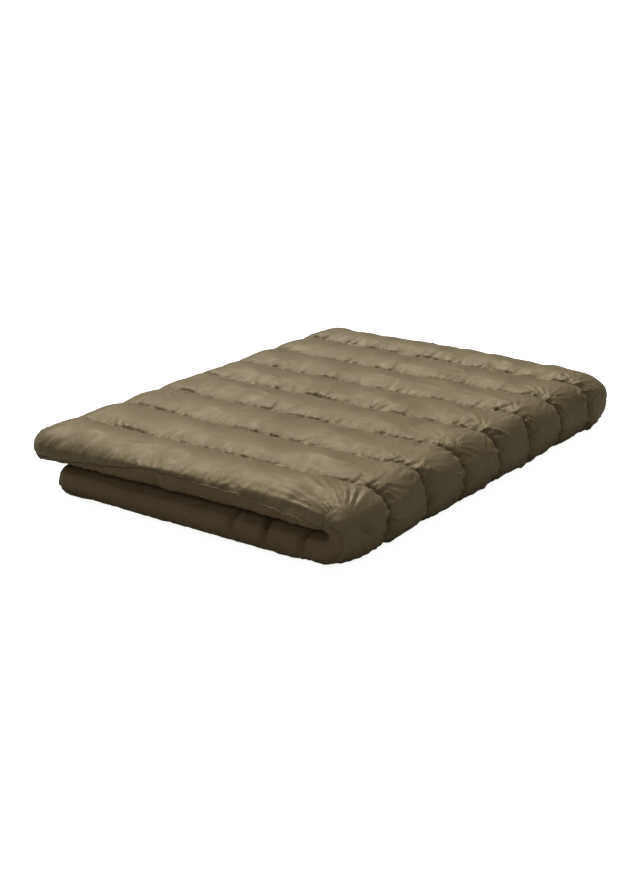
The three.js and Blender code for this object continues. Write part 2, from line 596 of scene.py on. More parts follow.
def grid_faces(columns: int, lines: int, flipped: bool, closed: bool = False) -> Points:
    """Quads over a grid of points that are numbered line by line within each column.

    Args:
        columns: Number of columns of points.
        lines: Number of points in a column.
        flipped: Turns the faces to the other side.
        closed: Joins the last line of each column back to the first.

    Returns:
        Four point numbers for each face.
    """
    gaps = lines if closed else lines - 1
    column, line = np.meshgrid(np.arange(columns - 1), np.arange(gaps), indexing="ij")
    after = (line + 1) % lines
    first, second = column * lines + line, (column + 1) * lines + line
    third, fourth = (column + 1) * lines + after, column * lines + after
    order = (first, fourth, third, second) if flipped else (first, second, third, fourth)
    return np.stack([corner.ravel() for corner in order], axis=-1)


def values_of(items: Collection, key: str, width: int = 1, kind: type = float) -> Points:
    """Reads one property of every item of a mesh, as one number or one row each."""
    found = np.empty(len(items) * width, kind)
    items.foreach_get(key, found)
    return found.reshape(-1, width) if width > 1 else found


def added(name: str, data: bpy.types.ID) -> bpy.types.Object:
    """Puts a mesh, a lamp or a camera into the scene as an object at the origin."""
    made = bpy.data.objects.new(name, data)
    bpy.context.scene.collection.objects.link(made)
    return made


def make_mesh(name: str, points: Points, faces: list | Points, cut: Points | None = None) -> bpy.types.Object:
    """Makes a smooth mesh object at the origin.

    Args:
        name: The object's name.
        points: One row for each point.
        faces: Point numbers for each face.
        cut: Where each point lies on the flat cloth, which becomes the UV map.

    Returns:
        The new object.
    """
    mesh = bpy.data.meshes.new(name)
    corners = [list(map(int, face)) for face in faces]
    mesh.from_pydata(np.asarray(points, float).reshape(-1, 3).tolist(), [], corners)
    if cut is not None:
        flat = np.asarray(cut, np.float32).reshape(-1, 2)
        order = values_of(mesh.loops, "vertex_index", kind=np.int32)
        mesh.uv_layers.new(name="cut").uv.foreach_set("vector", flat[order].ravel())
    mesh.shade_smooth()
    mesh.update()
    return added(name, mesh)


def baked(made: bpy.types.Object) -> bpy.types.Object:
    """Turns what an object's modifiers show into its own plain mesh, and removes the modifiers."""
    graph = bpy.context.evaluated_depsgraph_get()
    mesh = bpy.data.meshes.new_from_object(made.evaluated_get(graph))
    made.modifiers.clear()
    made.data = mesh
    mesh.name = made.name
    return made


def thicken(made: bpy.types.Object, thickness: float) -> bpy.types.Object:
    """Gives a sheet its thickness, away from the side that its faces show."""
    wall = made.modifiers.new("wall", "SOLIDIFY")
    wall.thickness = thickness
    wall.offset = -1.0
    return baked(made)


def face_as(made: bpy.types.Object, facing: Points) -> None:
    """Sets the shading directions of a walled sheet, so that it doesn't show where it was cut in two.

    Args:
        made: The sheet with its wall, whose first points are those of the sheet it was made from.
        facing: The direction that the sheet faces at each of those points.
    """
    mesh = made.data
    corners = values_of(mesh.loops, "vertex_index", kind=np.int32)
    sides = values_of(mesh.polygons, "loop_total", kind=np.int32)
    flat = np.repeat(values_of(mesh.polygons, "normal", 3), sides, axis=0)
    round_way = np.concatenate([facing, -facing])[corners]
    rim = np.einsum("ij,ij->i", flat, round_way) < 0.3
    round_way[rim] = flat[rim]
    mesh.normals_split_custom_set(round_way.tolist())


def directions(vectors: Points) -> Points:
    """The same vectors, each one long."""
    return vectors / np.maximum(np.linalg.norm(vectors, axis=-1, keepdims=True), 1e-12)


def finer(points: Points, axis: int, breaks: list[int]) -> Points:
    """Puts a new line of points between every two, on a smooth curve through them.

    Args:
        points: A grid of points.
        axis: The axis of the grid that is divided.
        breaks: Numbers of the lines where the curve may have a corner.

    Returns:
        The finer grid, in which line n has become line 2n.
    """
    lines = np.moveaxis(points, axis, 0)
    made = []
    for first, last in zip(breaks[:-1], breaks[1:]):
        run = lines[first:last + 1]
        ends = 2.0 * run[:1] - run[1:2], 2.0 * run[-1:] - run[-2:-1]
        padded = np.concatenate([ends[0], run, ends[1]])
        between = (9.0 * (padded[1:-2] + padded[2:-1]) - padded[:-3] - padded[3:]) / 16.0
        both = np.empty((2 * len(between),) + run.shape[1:])
        both[0::2], both[1::2] = run[:-1], between
        made.append(both)
    made.append(lines[-1:])
    return np.moveaxis(np.concatenate(made), 0, axis)


@dataclass(frozen=True)
class ClothBench:
    """Blows up a sewn sheet as cloth, with its seams held."""

    frames: int = 14
    quality: int = 5
    mass: float = 0.12
    stiffness: float = 12.0
    shear: float = 4.0
    bending: float = 0.02
    damping: float = 6.0
    air: float = 2.0

    def blow_up(self, points: Points, faces: Points, held: Points, cut: Points, pressure: float) -> Points:
        """Lets the pressure of the down fill out a sheet that is cut larger than the space it is sewn over.

        Args:
            points: The sheet as sewn, before it fills out.
            faces: Its faces.
            held: Numbers of the points on its seams.
            cut: The same points on the flat cloth.
            pressure: Cloth pressure, out along the faces.

        Returns:
            The points of the filled sheet.
        """
        made = make_mesh("cloth_bench", points, faces)
        group = made.vertex_groups.new(name="seams")
        group.add([int(index) for index in held], 1.0, "REPLACE")
        made.shape_key_add(name="sewn")
        key = made.shape_key_add(name="cut")
        flat = np.column_stack([cut, np.zeros(len(cut))])
        key.data.foreach_set("co", flat.astype(np.float32).ravel())
        cloth = made.modifiers.new("cloth", "CLOTH")
        for name, value in {
            "quality": self.quality, "mass": self.mass, "air_damping": self.air,
            "tension_stiffness": self.stiffness, "compression_stiffness": self.stiffness,
            "shear_stiffness": self.shear, "bending_stiffness": self.bending,
            "tension_damping": self.damping, "compression_damping": self.damping,
            "shear_damping": self.damping, "use_pressure": True, "uniform_pressure_force": pressure,
            "vertex_group_mass": group.name, "rest_shape_key": key,
        }.items():
            setattr(cloth.settings, name, value)
        cloth.settings.effector_weights.gravity = 0.0
        cloth.collision_settings.use_collision = False
        cloth.point_cache.frame_start, cloth.point_cache.frame_end = 1, self.frames
        scene = bpy.context.scene
        for frame_number in range(1, self.frames + 1):
            scene.frame_set(frame_number)
        filled = made.evaluated_get(bpy.context.evaluated_depsgraph_get()).to_mesh()
        result = values_of(filled.vertices, "co", 3)
        bpy.data.objects.remove(made)
        scene.frame_set(1)
        return result


# ---- The two sheets ----


@dataclass
class Sheet:
    """One sheet of the quilt: cut flat, sewn over the fold, filled out as cloth and then creased."""

    quilt: FoldedQuilt
    face: Face
    bench: ClothBench
    upper_step: float
    lower_step: float
    rows_in_channel: int
    seam_depth: float
    fold_seam_depth: float
    fold_flatness: float
    fold_opening: float
    fullness: float
    side_reach: float
    end_reach: tuple[float, float]
    fold_reach: float
    overhang_knots: tuple[tuple[float, float], ...]
    slack: tuple[float, float]
    pressure: float
    creases: list[Crease | Fan]
    fold_calm: float = 0.0
    under_calm: float = 0.0
    under_reach: float = 0.10
    corner_reach: float = 0.22
    shallow_edge: tuple[float, float] = (0.35, 0.25)
    channel_power: float = 2.1
    channel_fullness: float = 0.72
    seam_hold: float = 0.010
    end_hold: float = 0.0035
    side_hold: float = 0.012
    lumps: float = 0.0016
    lump_waves: int = 9
    lump_length: tuple[float, float] = (0.07, 0.24)
    row_crowding: float = 0.5
    thickness: float = 0.0005
    wobble: tuple[float, float] = (0.0012, 1.4 * 0.0012)
    wobble_length: tuple[float, float] = (0.07, 0.11)
    floor_gap: float = 0.0006
    least_radius: float = 0.004
    seed: int = 11

    def __post_init__(self) -> None:
        """Works out the sheet from its cut to its creases."""
        self.columns = self.make_columns()
        self.rows = self.make_rows()
        self.seam_lines = [self.rows_in_channel * seam for seam in range(1, self.quilt.channels)]
        self.cut = self.flat_cut()
        self.points = self.creased(self.filled_points())
        self.facing = self.faces_towards(self.points)

    @property
    def outward(self) -> int:
        """1 where the sheet shows its face away from the middle of the fold, -1 where towards it."""
        return 1 if self.face is Face.SHELL else -1

    @property
    def crown_column(self) -> int:
        """The number of the column on the crown of the fold."""
        return int(np.argmin(np.abs(self.columns - self.quilt.crown)))

    def make_columns(self) -> Points:
        """Places along the quilt, closer together where the sheet shows, with one on the crown."""
        quilt = self.quilt
        lower = 2 * round((quilt.crown - quilt.start) / self.lower_step / 2.0)
        upper = 2 * round((quilt.end - quilt.crown) / self.upper_step / 2.0)
        length = quilt.crown - quilt.start
        share = np.linspace(1.0, 0.0, lower + 1)
        even = min(1.0, self.upper_step * lower / length)
        below = quilt.crown - length * (even * share + (1.0 - even) * share * share)
        return np.concatenate([below, np.linspace(quilt.crown, quilt.end, upper + 1)[1:]])

    def make_rows(self) -> Points:
        """Places across the quilt, crowded together at the seams."""
        share = np.arange(self.rows_in_channel) / self.rows_in_channel
        share = share - self.row_crowding * np.sin(math.tau * share) / math.tau
        quilt = self.quilt
        rows = [-quilt.half_length + quilt.pitch * (channel + share) for channel in range(quilt.channels)]
        return np.append(np.concatenate(rows), quilt.half_length)

    def edge_rounding(self, along: Points, across: Points) -> tuple[Points, Points]:
        """How the sheet rises from the hem, on its way in from the free sides and from the open ends.

        Args:
            along: Places along the quilt.
            across: Places across it.

        Returns:
            The two rises, from 0 at the hem to 1.
        """
        quilt = self.quilt
        side_away = quilt.side_distance(along)
        at_corner, inside = self.end_reach
        reach = at_corner + (inside - at_corner) * smooth(side_away / self.corner_reach)
        reach = reach + (self.fold_reach - reach) * quilt.in_fold(along)
        side = quarter_round(side_away, self.side_reach) ** self.fullness
        end = quarter_round(quilt.end_distance(across), reach) ** self.fullness
        return side, end

    def overhung(self, points: Points, along: Points, across: Points) -> Points:
        """Lets the filled edge of the sheet bulge out past the hem.

        Args:
            points: The points of the sheet in the frame.
            along: Their places along the quilt.
            across: Their places across it.

        Returns:
            The moved points.
        """
        side, end = self.edge_rounding(along, across)
        most = through(self.overhang_knots, along)
        moved = points.copy()
        moved[..., 0] -= most * 4.0 * side * (1.0 - side) * end
        moved[..., 1] += np.sign(across) * most * 4.0 * end * (1.0 - end) * side
        return moved

    def sewn_radius(self, along: Points, across: Points) -> Points:
        """The radius of the sheet as sewn, before it fills out.

        Args:
            along: Places along the quilt.
            across: Places across it.

        Returns:
            The radius at each place.
        """
        quilt = self.quilt
        share = np.mod((across + quilt.half_length) / quilt.pitch, 1.0)
        outer = np.abs(across) > quilt.half_length - quilt.pitch
        inner_side = np.where(across < 0.0, 1.0 - share, share)
        away = np.where(outer, np.minimum(inner_side, 0.5), np.minimum(share, 1.0 - share))
        in_fold = quilt.in_fold(along)
        power = self.channel_power + self.fold_flatness * in_fold
        lift = np.clip(1.0 - np.abs(1.0 - 2.0 * away) ** power, 0.0, 1.0) ** self.channel_fullness
        depth = self.seam_depth + (self.fold_seam_depth - self.seam_depth) * in_fold
        less, edge = self.shallow_edge
        depth *= 1.0 - less * (1.0 - smooth(quilt.side_distance(along) / edge))
        hem = quilt.hem_line(along, across)
        if self.face is Face.SHELL:
            full = quilt.crest
        else:
            full = quilt.lining_gap + self.fold_opening * quilt.near_crown(along, quilt.arc)
        flat = full - self.outward * depth * (1.0 - lift)
        side, end = self.edge_rounding(along, across)
        return hem + (flat - hem) * side * end

    def flat_cut(self) -> Points:
        """Where each point lies on the flat cloth, which is cut a little larger than its sewn path."""
        quilt = self.quilt
        middle = len(self.rows) // 2 + self.rows_in_channel // 2
        column = int(np.argmin(np.abs(self.columns - 0.6 * quilt.end)))
        lines = (
            (self.columns, np.full_like(self.columns, self.rows[middle])),
            (np.full_like(self.rows, self.columns[column]), self.rows),
        )
        lengths = []
        for (along, across), spare in zip(lines, self.slack):
            line = self.laid(along, across, self.sewn_radius(along, across))
            steps = np.linalg.norm(np.diff(line, axis=0), axis=1)
            lengths.append(np.append(0.0, np.cumsum(steps)) * (1.0 + spare))
        return np.stack(np.meshgrid(*lengths, indexing="ij"), axis=-1)

    def laid(self, along: Points, across: Points, radius: Points) -> Points:
        """Where the sheet is while it fills out: the shell over the fold, the lining laid out flat."""
        if self.face is Face.SHELL:
            return self.quilt.place(along, across, radius)
        return np.stack([along, across, radius], axis=-1)

    def filled_points(self) -> Points:
        """The points of the sheet, blown up on a coarse grid and then made finer."""
        coarse = self.columns[::2], self.rows[::2]
        along, across = np.meshgrid(*coarse, indexing="ij")
        radius = self.sewn_radius(along, across)
        along, across = self.quilt.rounded_corner(along, across)
        for number, line in enumerate(self.seam_lines):
            seed = self.seed + number
            radius[:, line // 2] += self.wobble[0] * wander(coarse[0], self.wobble_length[0], seed)
            across[:, line // 2] += self.wobble[1] * wander(coarse[0], self.wobble_length[1], seed + 40)
        points = self.laid(along, across, radius)
        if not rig.quick():
            numbers = np.arange(points[..., 0].size).reshape(points.shape[:2])
            held = np.unique(np.concatenate([
                numbers[0], numbers[-1], numbers[:, 0], numbers[:, -1],
                *(numbers[:, line // 2] for line in self.seam_lines),
            ]))
            points = self.bench.blow_up(
                points.reshape(-1, 3),
                grid_faces(*points.shape[:2], flipped=True),
                held,
                self.cut[::2, ::2].reshape(-1, 2),
                self.pressure,
            ).reshape(points.shape)
        seams = [0, *(line // 2 for line in self.seam_lines), len(coarse[1]) - 1]
        points = finer(finer(points, 1, seams), 0, [0, len(coarse[0]) - 1])
        if self.face is Face.LINING:
            in_fold = np.abs(points[..., 0] - self.quilt.crown) < 0.5 * self.quilt.arc
            points[..., 2][in_fold] = np.maximum(points[..., 2][in_fold], self.least_radius)
            points = self.quilt.place(points[..., 0], points[..., 1], points[..., 2])
        return points

    def faces_towards(self, points: Points) -> Points:
        """The direction that the sheet faces at each point."""
        along, across = np.gradient(points, axis=0), np.gradient(points, axis=1)
        return directions(self.outward * np.cross(across, along))

    def creased(self, points: Points) -> Points:
        """Adds the creases and lumps, and rests the sheet on the floor and against the other half.

        Args:
            points: The filled points.

        Returns:
            The points of the finished sheet.
        """
        quilt = self.quilt
        heights = np.zeros(points.shape[:2])
        for crease in self.creases:
            crease.add_to(heights, self.columns, self.rows)
        along, across = np.meshgrid(self.columns, self.rows, indexing="ij")
        draw = np.random.default_rng(self.seed)
        for _ in range(self.lump_waves):
            turn, wave = draw.uniform(0.0, math.pi), draw.uniform(*self.lump_length)
            phase = (along * math.cos(turn) + across * math.sin(turn)) / wave + draw.uniform()
            heights += self.lumps / 2.2 * np.sin(math.tau * phase)
        share = np.mod((self.rows + quilt.half_length) / quilt.pitch + 0.5, 1.0) - 0.5
        held = smooth(np.abs(share) * quilt.pitch / self.seam_hold)
        outer = quilt.end_distance(self.rows) < 0.5 * quilt.pitch
        held[outer] = smooth(quilt.end_distance(self.rows[outer]) / self.end_hold)
        calm = 1.0 - self.fold_calm * quilt.in_fold(self.columns, gain=1.7)
        calm *= 1.0 - self.under_calm * smooth(-self.columns / self.under_reach)
        heights *= held * (calm * smooth(quilt.side_distance(self.columns) / self.side_hold))[:, None]
        self.dents = self.spread_dents(heights)
        points = self.overhung(points, along, across)
        points = points + self.faces_towards(points) * heights[..., None]
        if self.face is Face.SHELL:
            points[..., 2] = np.maximum(points[..., 2], self.floor_gap)
            return points
        x, height = points[..., 0], points[..., 2]
        lower = (self.columns < quilt.crown)[:, None] & (x < quilt.fold_x)
        upper = (self.columns >= quilt.crown)[:, None] & (x < quilt.fold_x)
        upper &= x > quilt.fold_x - quilt.lower_run
        height[lower] = np.minimum(height[lower], quilt.fold_z - self.floor_gap)
        height[upper] = np.maximum(height[upper], quilt.fold_z + self.floor_gap)
        return points

    def spread_dents(self, heights: Points, spread: int = 4) -> Points:
        """How deep the deepest crease is, near each point.

        Args:
            heights: The creases' heights.
            spread: How many points away a crease counts.

        Returns:
            The depths.
        """
        dents = np.maximum(-heights, 0.0)
        for axis in (0, 1):
            dents = np.max([np.roll(dents, shift, axis) for shift in range(-spread, spread + 1)], axis=0)
        return dents

    def inner_radius(self, along: Points, across: Points) -> Points:
        """The radius that stays behind the sheet and its creases, for what lies inside the quilt."""
        column = np.clip(np.searchsorted(self.columns, along), 0, len(self.columns) - 1)
        row = np.clip(np.searchsorted(self.rows, across), 0, len(self.rows) - 1)
        return self.sewn_radius(along, across) - self.outward * self.dents[column, row]

    def part_of(self, half: Half) -> slice:
        """The columns of one of the two pieces."""
        return slice(0, self.crown_column + 1) if half is Half.LOWER else slice(self.crown_column, None)

    def piece(self, half: Half) -> bpy.types.Object:
        """Cuts the sheet at the crown of the fold and makes one of its two pieces, with its thickness."""
        columns = self.part_of(half)
        points = self.points[columns]
        faces = grid_faces(*points.shape[:2], flipped=self.face is Face.SHELL)
        made = make_mesh(f"{self.face.value}_{half.value}_sheet", points, faces, self.cut[columns])
        thicken(made, self.thickness)
        face_as(made, self.facing[columns].reshape(-1, 3))
        return made

    def flat_size(self, half: Half) -> tuple[float, float]:
        """The size that one of the two pieces was cut to."""
        cut = self.cut[self.part_of(half)]
        return float(np.ptp(cut[..., 0])), float(np.ptp(cut[..., 1]))


@dataclass(frozen=True)
class CreasePlan:
    """Where the sheets of the quilt pucker and crease."""

    quilt: FoldedQuilt
    seam: Puckers = Puckers(0.016, (0.028, 0.085), (0.0055, 0.0090), (0.0009, 0.0034), 0.36)
    fold: Puckers = Puckers(0.014, (0.045, 0.130), (0.0055, 0.0095), (0.0018, 0.0068), 0.42)
    hem: Puckers = Puckers(0.022, (0.030, 0.080), (0.0055, 0.0090), (0.0008, 0.0030), 0.45)

    def seams(self, seed: int, fold_from: float, fold_to: float) -> list[Crease]:
        """The puckers on both sides of every baffle seam, longer and higher round the fold."""
        quilt, made = self.quilt, []
        for number, seam in enumerate(quilt.seams):
            for side in (-1, 1):
                for puckers, start, end in (
                    (self.seam, quilt.start + 0.03, fold_from),
                    (self.fold, fold_from, fold_to),
                    (self.seam, fold_to, quilt.end - 0.03),
                ):
                    seed += 1
                    made += puckers.beside((start, seam), (end, seam), side * math.pi / 2.0, seed)
        return made

    def edges(self, seed: int) -> list[Crease]:
        """The puckers along the hem, all round."""
        quilt, made, corner = self.quilt, [], 0.04
        half = quilt.half_length
        for side in (-1, 1):
            start, end = (quilt.start + corner, side * half), (quilt.end - corner, side * half)
            made += self.hem.beside(start, end, -side * math.pi / 2.0, seed + side)
        for edge, heading, place in ((quilt.start, 0.0, 5), (quilt.end, math.pi, 8)):
            made += self.hem.beside((edge, corner - half), (edge, half - corner), heading, seed + place)
        return made

    def fans(self, seed: int) -> list[Fan]:
        """The folds that spread from the fold's corners, the free corners and each seam's bend."""
        quilt = self.quilt
        places = []
        for side, pull in ((-1, 1.0), (1, 0.45)):
            end = side * quilt.half_length
            places += [
                (quilt.crown + 0.060, end, 0.46, 0.0031 * pull, 0.20, 0.030, 1.3),
                (0.02, end, 0.22, 0.0032, 0.30, 0.035, 1.0),
                (quilt.end, end, 0.16, 0.0020, 0.30, 0.030, 1.0),
                (quilt.start, end, 0.14, 0.0020, 0.34, 0.030, 1.0),
            ]
        for seam in quilt.seams:
            places += [
                (quilt.arc - 0.025, seam, 0.16, 0.0021, 0.42, 0.010, 1.0),
                (0.05, seam, 0.14, 0.0018, 0.42, 0.010, 1.0),
            ]
        return [Fan(*place, seed=seed + number) for number, place in enumerate(places, 1)]

    def long_pulls(self, seed: int, count: int) -> list[Crease]:
        """Low creases that wander across the channels, where the folded cloth is pulled askew."""
        quilt, draw, made = self.quilt, np.random.default_rng(seed), []
        for _ in range(count):
            channel = draw.integers(0, quilt.channels)
            middle = -quilt.half_length + quilt.pitch * (channel + draw.uniform(0.25, 0.75))
            made.append(Crease(
                along=draw.uniform(quilt.start + 0.1, quilt.end - 0.1),
                across=middle,
                heading=draw.choice([0.0, math.pi]) + draw.normal(0.0, 0.35),
                length=draw.uniform(0.10, 0.30),
                width=draw.uniform(0.008, 0.016),
                height=draw.uniform(0.0008, 0.0024),
            ))
        return made

    def bunches(self) -> list[Crease]:
        """Deep furrows in the front end's lining: three beside the fold and a small one above."""
        edge = -self.quilt.half_length - 0.012
        return [
            Crease(along, edge, heading, length, width, height, furrow=0.9)
            for along, heading, length, width, height in (
                (-0.262, 1.50, 0.15, 0.0105, -0.015),
                (-0.160, 1.72, 0.18, 0.0125, -0.020),
                (-0.060, 1.35, 0.17, 0.0120, -0.019),
                (0.760, 1.60, 0.09, 0.0080, -0.008),
            )
        ]

    def for_shell(self) -> list[Crease | Fan]:
        """All the creases of the outer shell."""
        seams = self.seams(300, -0.02, self.quilt.arc + 0.07)
        return [*seams, *self.edges(700), *self.fans(810), *self.long_pulls(900, 60)]

    def for_lining(self) -> list[Crease | Fan]:
        """All the creases of the lining."""
        return [*self.seams(1300, 0.0, self.quilt.arc), *self.edges(1700), *self.bunches()]


# ---- Hem, baffle walls and down ----


def closed_and_outward(made: bpy.types.Object) -> bpy.types.Object:
    """Turns the faces of a closed piece outwards."""
    work = bmesh.new()
    work.from_mesh(made.data)
    bmesh.ops.recalc_face_normals(work, faces=work.faces)
    work.to_mesh(made.data)
    work.free()
    return made


def squared(turn: Points, power: float, other: float) -> tuple[Points, Points]:
    """Points round a section that is fuller than an ellipse where the powers are under 1.

    Args:
        turn: How far round each point is.
        power: The power of the width.
        other: The power of the height.

    Returns:
        The width and the height at each point, from -1 to 1.
    """
    wide, tall = np.cos(turn), np.sin(turn)
    return np.sign(wide) * np.abs(wide) ** power, np.sign(tall) * np.abs(tall) ** other


def closed_rings(count: int, sides: int) -> list[list[int]]:
    """Faces over a run of rings of points, with a face at each end."""
    final = (count - 1) * sides
    faces = grid_faces(count, sides, flipped=False, closed=True).tolist()
    return [*faces, list(range(sides)), list(range(final, final + sides))]


@dataclass
class Hem:
    """The seam allowance of both sheets, turned in to a narrow stitched strip all round the quilt."""

    quilt: FoldedQuilt
    wide: float = 0.0088
    thick: float = 0.0022
    set_out: float = -0.0014
    step: float = 0.0042
    sides: int = 12
    pucker: float = 0.0007
    pucker_length: float = 0.034
    section: tuple[float, float] = (0.7, 0.7)
    stitched_at: float = 0.0016
    seed: int = 61

    def line(self, half: Half) -> tuple[Points, Points]:
        """Follows the hem of one half from the fold, round the free side and back.

        Args:
            half: The half.

        Returns:
            The places along and across, and the directions out of the quilt at each.
        """
        quilt = self.quilt
        edge = quilt.edge(half)
        width = quilt.half_length
        corners = [(quilt.crown, -width), (edge, -width), (edge, width), (quilt.crown, width)]
        runs = [
            np.linspace(first, last, round(math.dist(first, last) / self.step), endpoint=False)
            for first, last in zip(corners[:-1], corners[1:])
        ]
        flat = np.concatenate([*runs, [corners[-1]]])
        places = np.stack(quilt.rounded_corner(*flat.T), axis=-1)
        ahead = directions(np.gradient(places, axis=0))
        out = half.side * np.stack([ahead[:, 1], -ahead[:, 0]], axis=-1)
        return places, out

    def around(self, half: Half, out: Points | float, up: Points | float) -> Points:
        """Points beside the hem's line.

        Args:
            half: The half.
            out: How far out of the quilt.
            up: How far from the middle of the hem's thickness, away from the middle of the fold.

        Returns:
            The points in the frame.
        """
        places, outwards = self.line(half)
        length = np.append(0.0, np.cumsum(np.linalg.norm(np.diff(places, axis=0), axis=1)))
        gathered = self.set_out + self.pucker * wander(length, self.pucker_length, self.seed + half.side)
        radius = self.quilt.hem_line(*places.T) + up
        return self.quilt.place(*(places + (gathered + out)[:, None] * outwards).T, radius)

    def piece(self, half: Half) -> bpy.types.Object:
        """Makes the strip of one half, rounded along its edges and closed at its ends."""
        round_way = np.arange(self.sides) / self.sides
        section = zip(*squared(round_way * math.tau, *self.section))
        rings = [self.around(half, self.wide / 2.0 * out, self.thick / 2.0 * up) for out, up in section]
        points = np.stack(rings, axis=1)
        lengths = np.arange(len(points)) * self.step
        cut = np.stack(np.meshgrid(lengths, round_way * 2.0 * self.wide, indexing="ij"), axis=-1)
        faces = closed_rings(len(points), self.sides)
        return closed_and_outward(make_mesh(f"hem_{half.value}_strip", points, faces, cut))


@dataclass
class BaffleWalls:
    """The strips of light cloth that stand under the seams and hold the two sheets apart."""

    quilt: FoldedQuilt
    shell: Sheet
    lining: Sheet
    step: float = 0.012
    lines: int = 9
    thickness: float = 0.0004
    slack: float = 0.0045
    least: float = 0.012
    clear: float = 0.0016
    billow: float = 0.16
    ripple: float = 0.05

    def piece(self, number: int, half: Half) -> bpy.types.Object:
        """Makes the wall under one seam, in one half.

        Args:
            number: The seam, from 1 at the front.
            half: The half.

        Returns:
            The wall.
        """
        quilt = self.quilt
        seam = quilt.seams[number - 1]
        edge = quilt.edge(half)
        along = np.linspace(quilt.crown, edge, round(abs(edge - quilt.crown) / self.step))
        across = np.full_like(along, seam)
        top = self.shell.sewn_radius(along, across) - self.clear
        low = self.lining.sewn_radius(along, across) + self.clear
        keep = top - low > self.least
        along, top, low = along[keep], top[keep], low[keep]
        share = np.linspace(0.0, 1.0, self.lines)[None, :]
        billow = self.slack * wander(along, self.billow, 500 + number)[:, None] * np.sin(math.pi * share)
        ripple = 0.3 * self.slack * wander(along, self.ripple, 600 + number)[:, None] * np.sin(math.tau * share)
        radius = low[:, None] + (top - low)[:, None] * share
        far = np.broadcast_to(along[:, None], radius.shape)
        points = quilt.place(far, seam + billow + ripple, radius)
        cut = np.stack([far, radius], axis=-1)
        faces = grid_faces(*radius.shape, flipped=False)
        return thicken(make_mesh(f"baffle_{number}_{half.value}_wall", points, faces, cut), self.thickness)

    def flat_size(self, made: bpy.types.Object) -> tuple[float, float]:
        """The size that a wall was cut to, from its UV map."""
        spread = np.ptp(values_of(made.data.uv_layers["cut"].uv, "vector", 2, np.float32), axis=0)
        return float(spread[0]), float(spread[1])


@dataclass
class DownFill:
    """The loose down that fills each channel, as one soft lump in each half."""

    quilt: FoldedQuilt
    shell: Sheet
    lining: Sheet
    step: float = 0.018
    sides: int = 28
    clear: float = 0.0075
    beside_wall: float = 0.0085
    beside_end: float = 0.010
    from_edge: float = 0.02
    clump: float = 0.0022
    cut_gap: float = 0.0015
    section: tuple[float, float] = (0.75, 0.85)
    end_reach: float = 0.05
    end_size: float = 0.06

    def piece(self, number: int, half: Half) -> bpy.types.Object:
        """Makes the down of one channel, in one half.

        Args:
            number: The channel, from 1 at the front.
            half: The half.

        Returns:
            The lump of down.
        """
        quilt = self.quilt
        low_side = -quilt.half_length + quilt.pitch * (number - 1)
        outer = number == 1, number == quilt.channels
        margins = [self.beside_wall + self.beside_end * at_end for at_end in outer]
        first, last = low_side + margins[0], low_side + quilt.pitch - margins[1]
        edge = quilt.edge(half) - half.side * self.from_edge
        begin = quilt.crown + half.side * self.cut_gap
        stations = np.linspace(begin, edge, round(abs(edge - begin) / self.step))
        turn = np.arange(self.sides) / self.sides * math.tau
        wide, tall = squared(turn, *self.section)
        closing = quarter_round(np.abs(edge - stations)[:, None], self.end_reach)
        closing = closing * (1.0 - self.end_size) + self.end_size
        across = (first + last) / 2.0 + (last - first) / 2.0 * wide[None, :] * closing
        along = np.broadcast_to(stations[:, None], across.shape)
        top = self.shell.inner_radius(along, across) - self.clear
        low = self.lining.inner_radius(along, across) + self.clear
        middle, reach = (top + low) / 2.0, np.maximum((top - low) / 2.0, 0.001)
        radius = middle + reach * tall[None, :] * closing
        draw = np.random.default_rng(70 + number * 2 + half.side)
        inward = np.zeros_like(radius)
        for _ in range(6):
            wave, spin = draw.uniform(0.05, 0.16), draw.integers(1, 5)
            phase = along / wave + spin * turn[None, :] / math.tau + draw.uniform()
            inward += self.clump / 3.0 * (1.0 + np.sin(math.tau * phase)) * closing
        radius = radius - np.sign(tall)[None, :] * np.minimum(inward, 0.5 * reach)
        points = quilt.place(along, across, radius)
        faces = closed_rings(len(stations), self.sides)
        return closed_and_outward(make_mesh(f"down_{number}_{half.value}_fill", points, faces))


# ---- Stitches ----


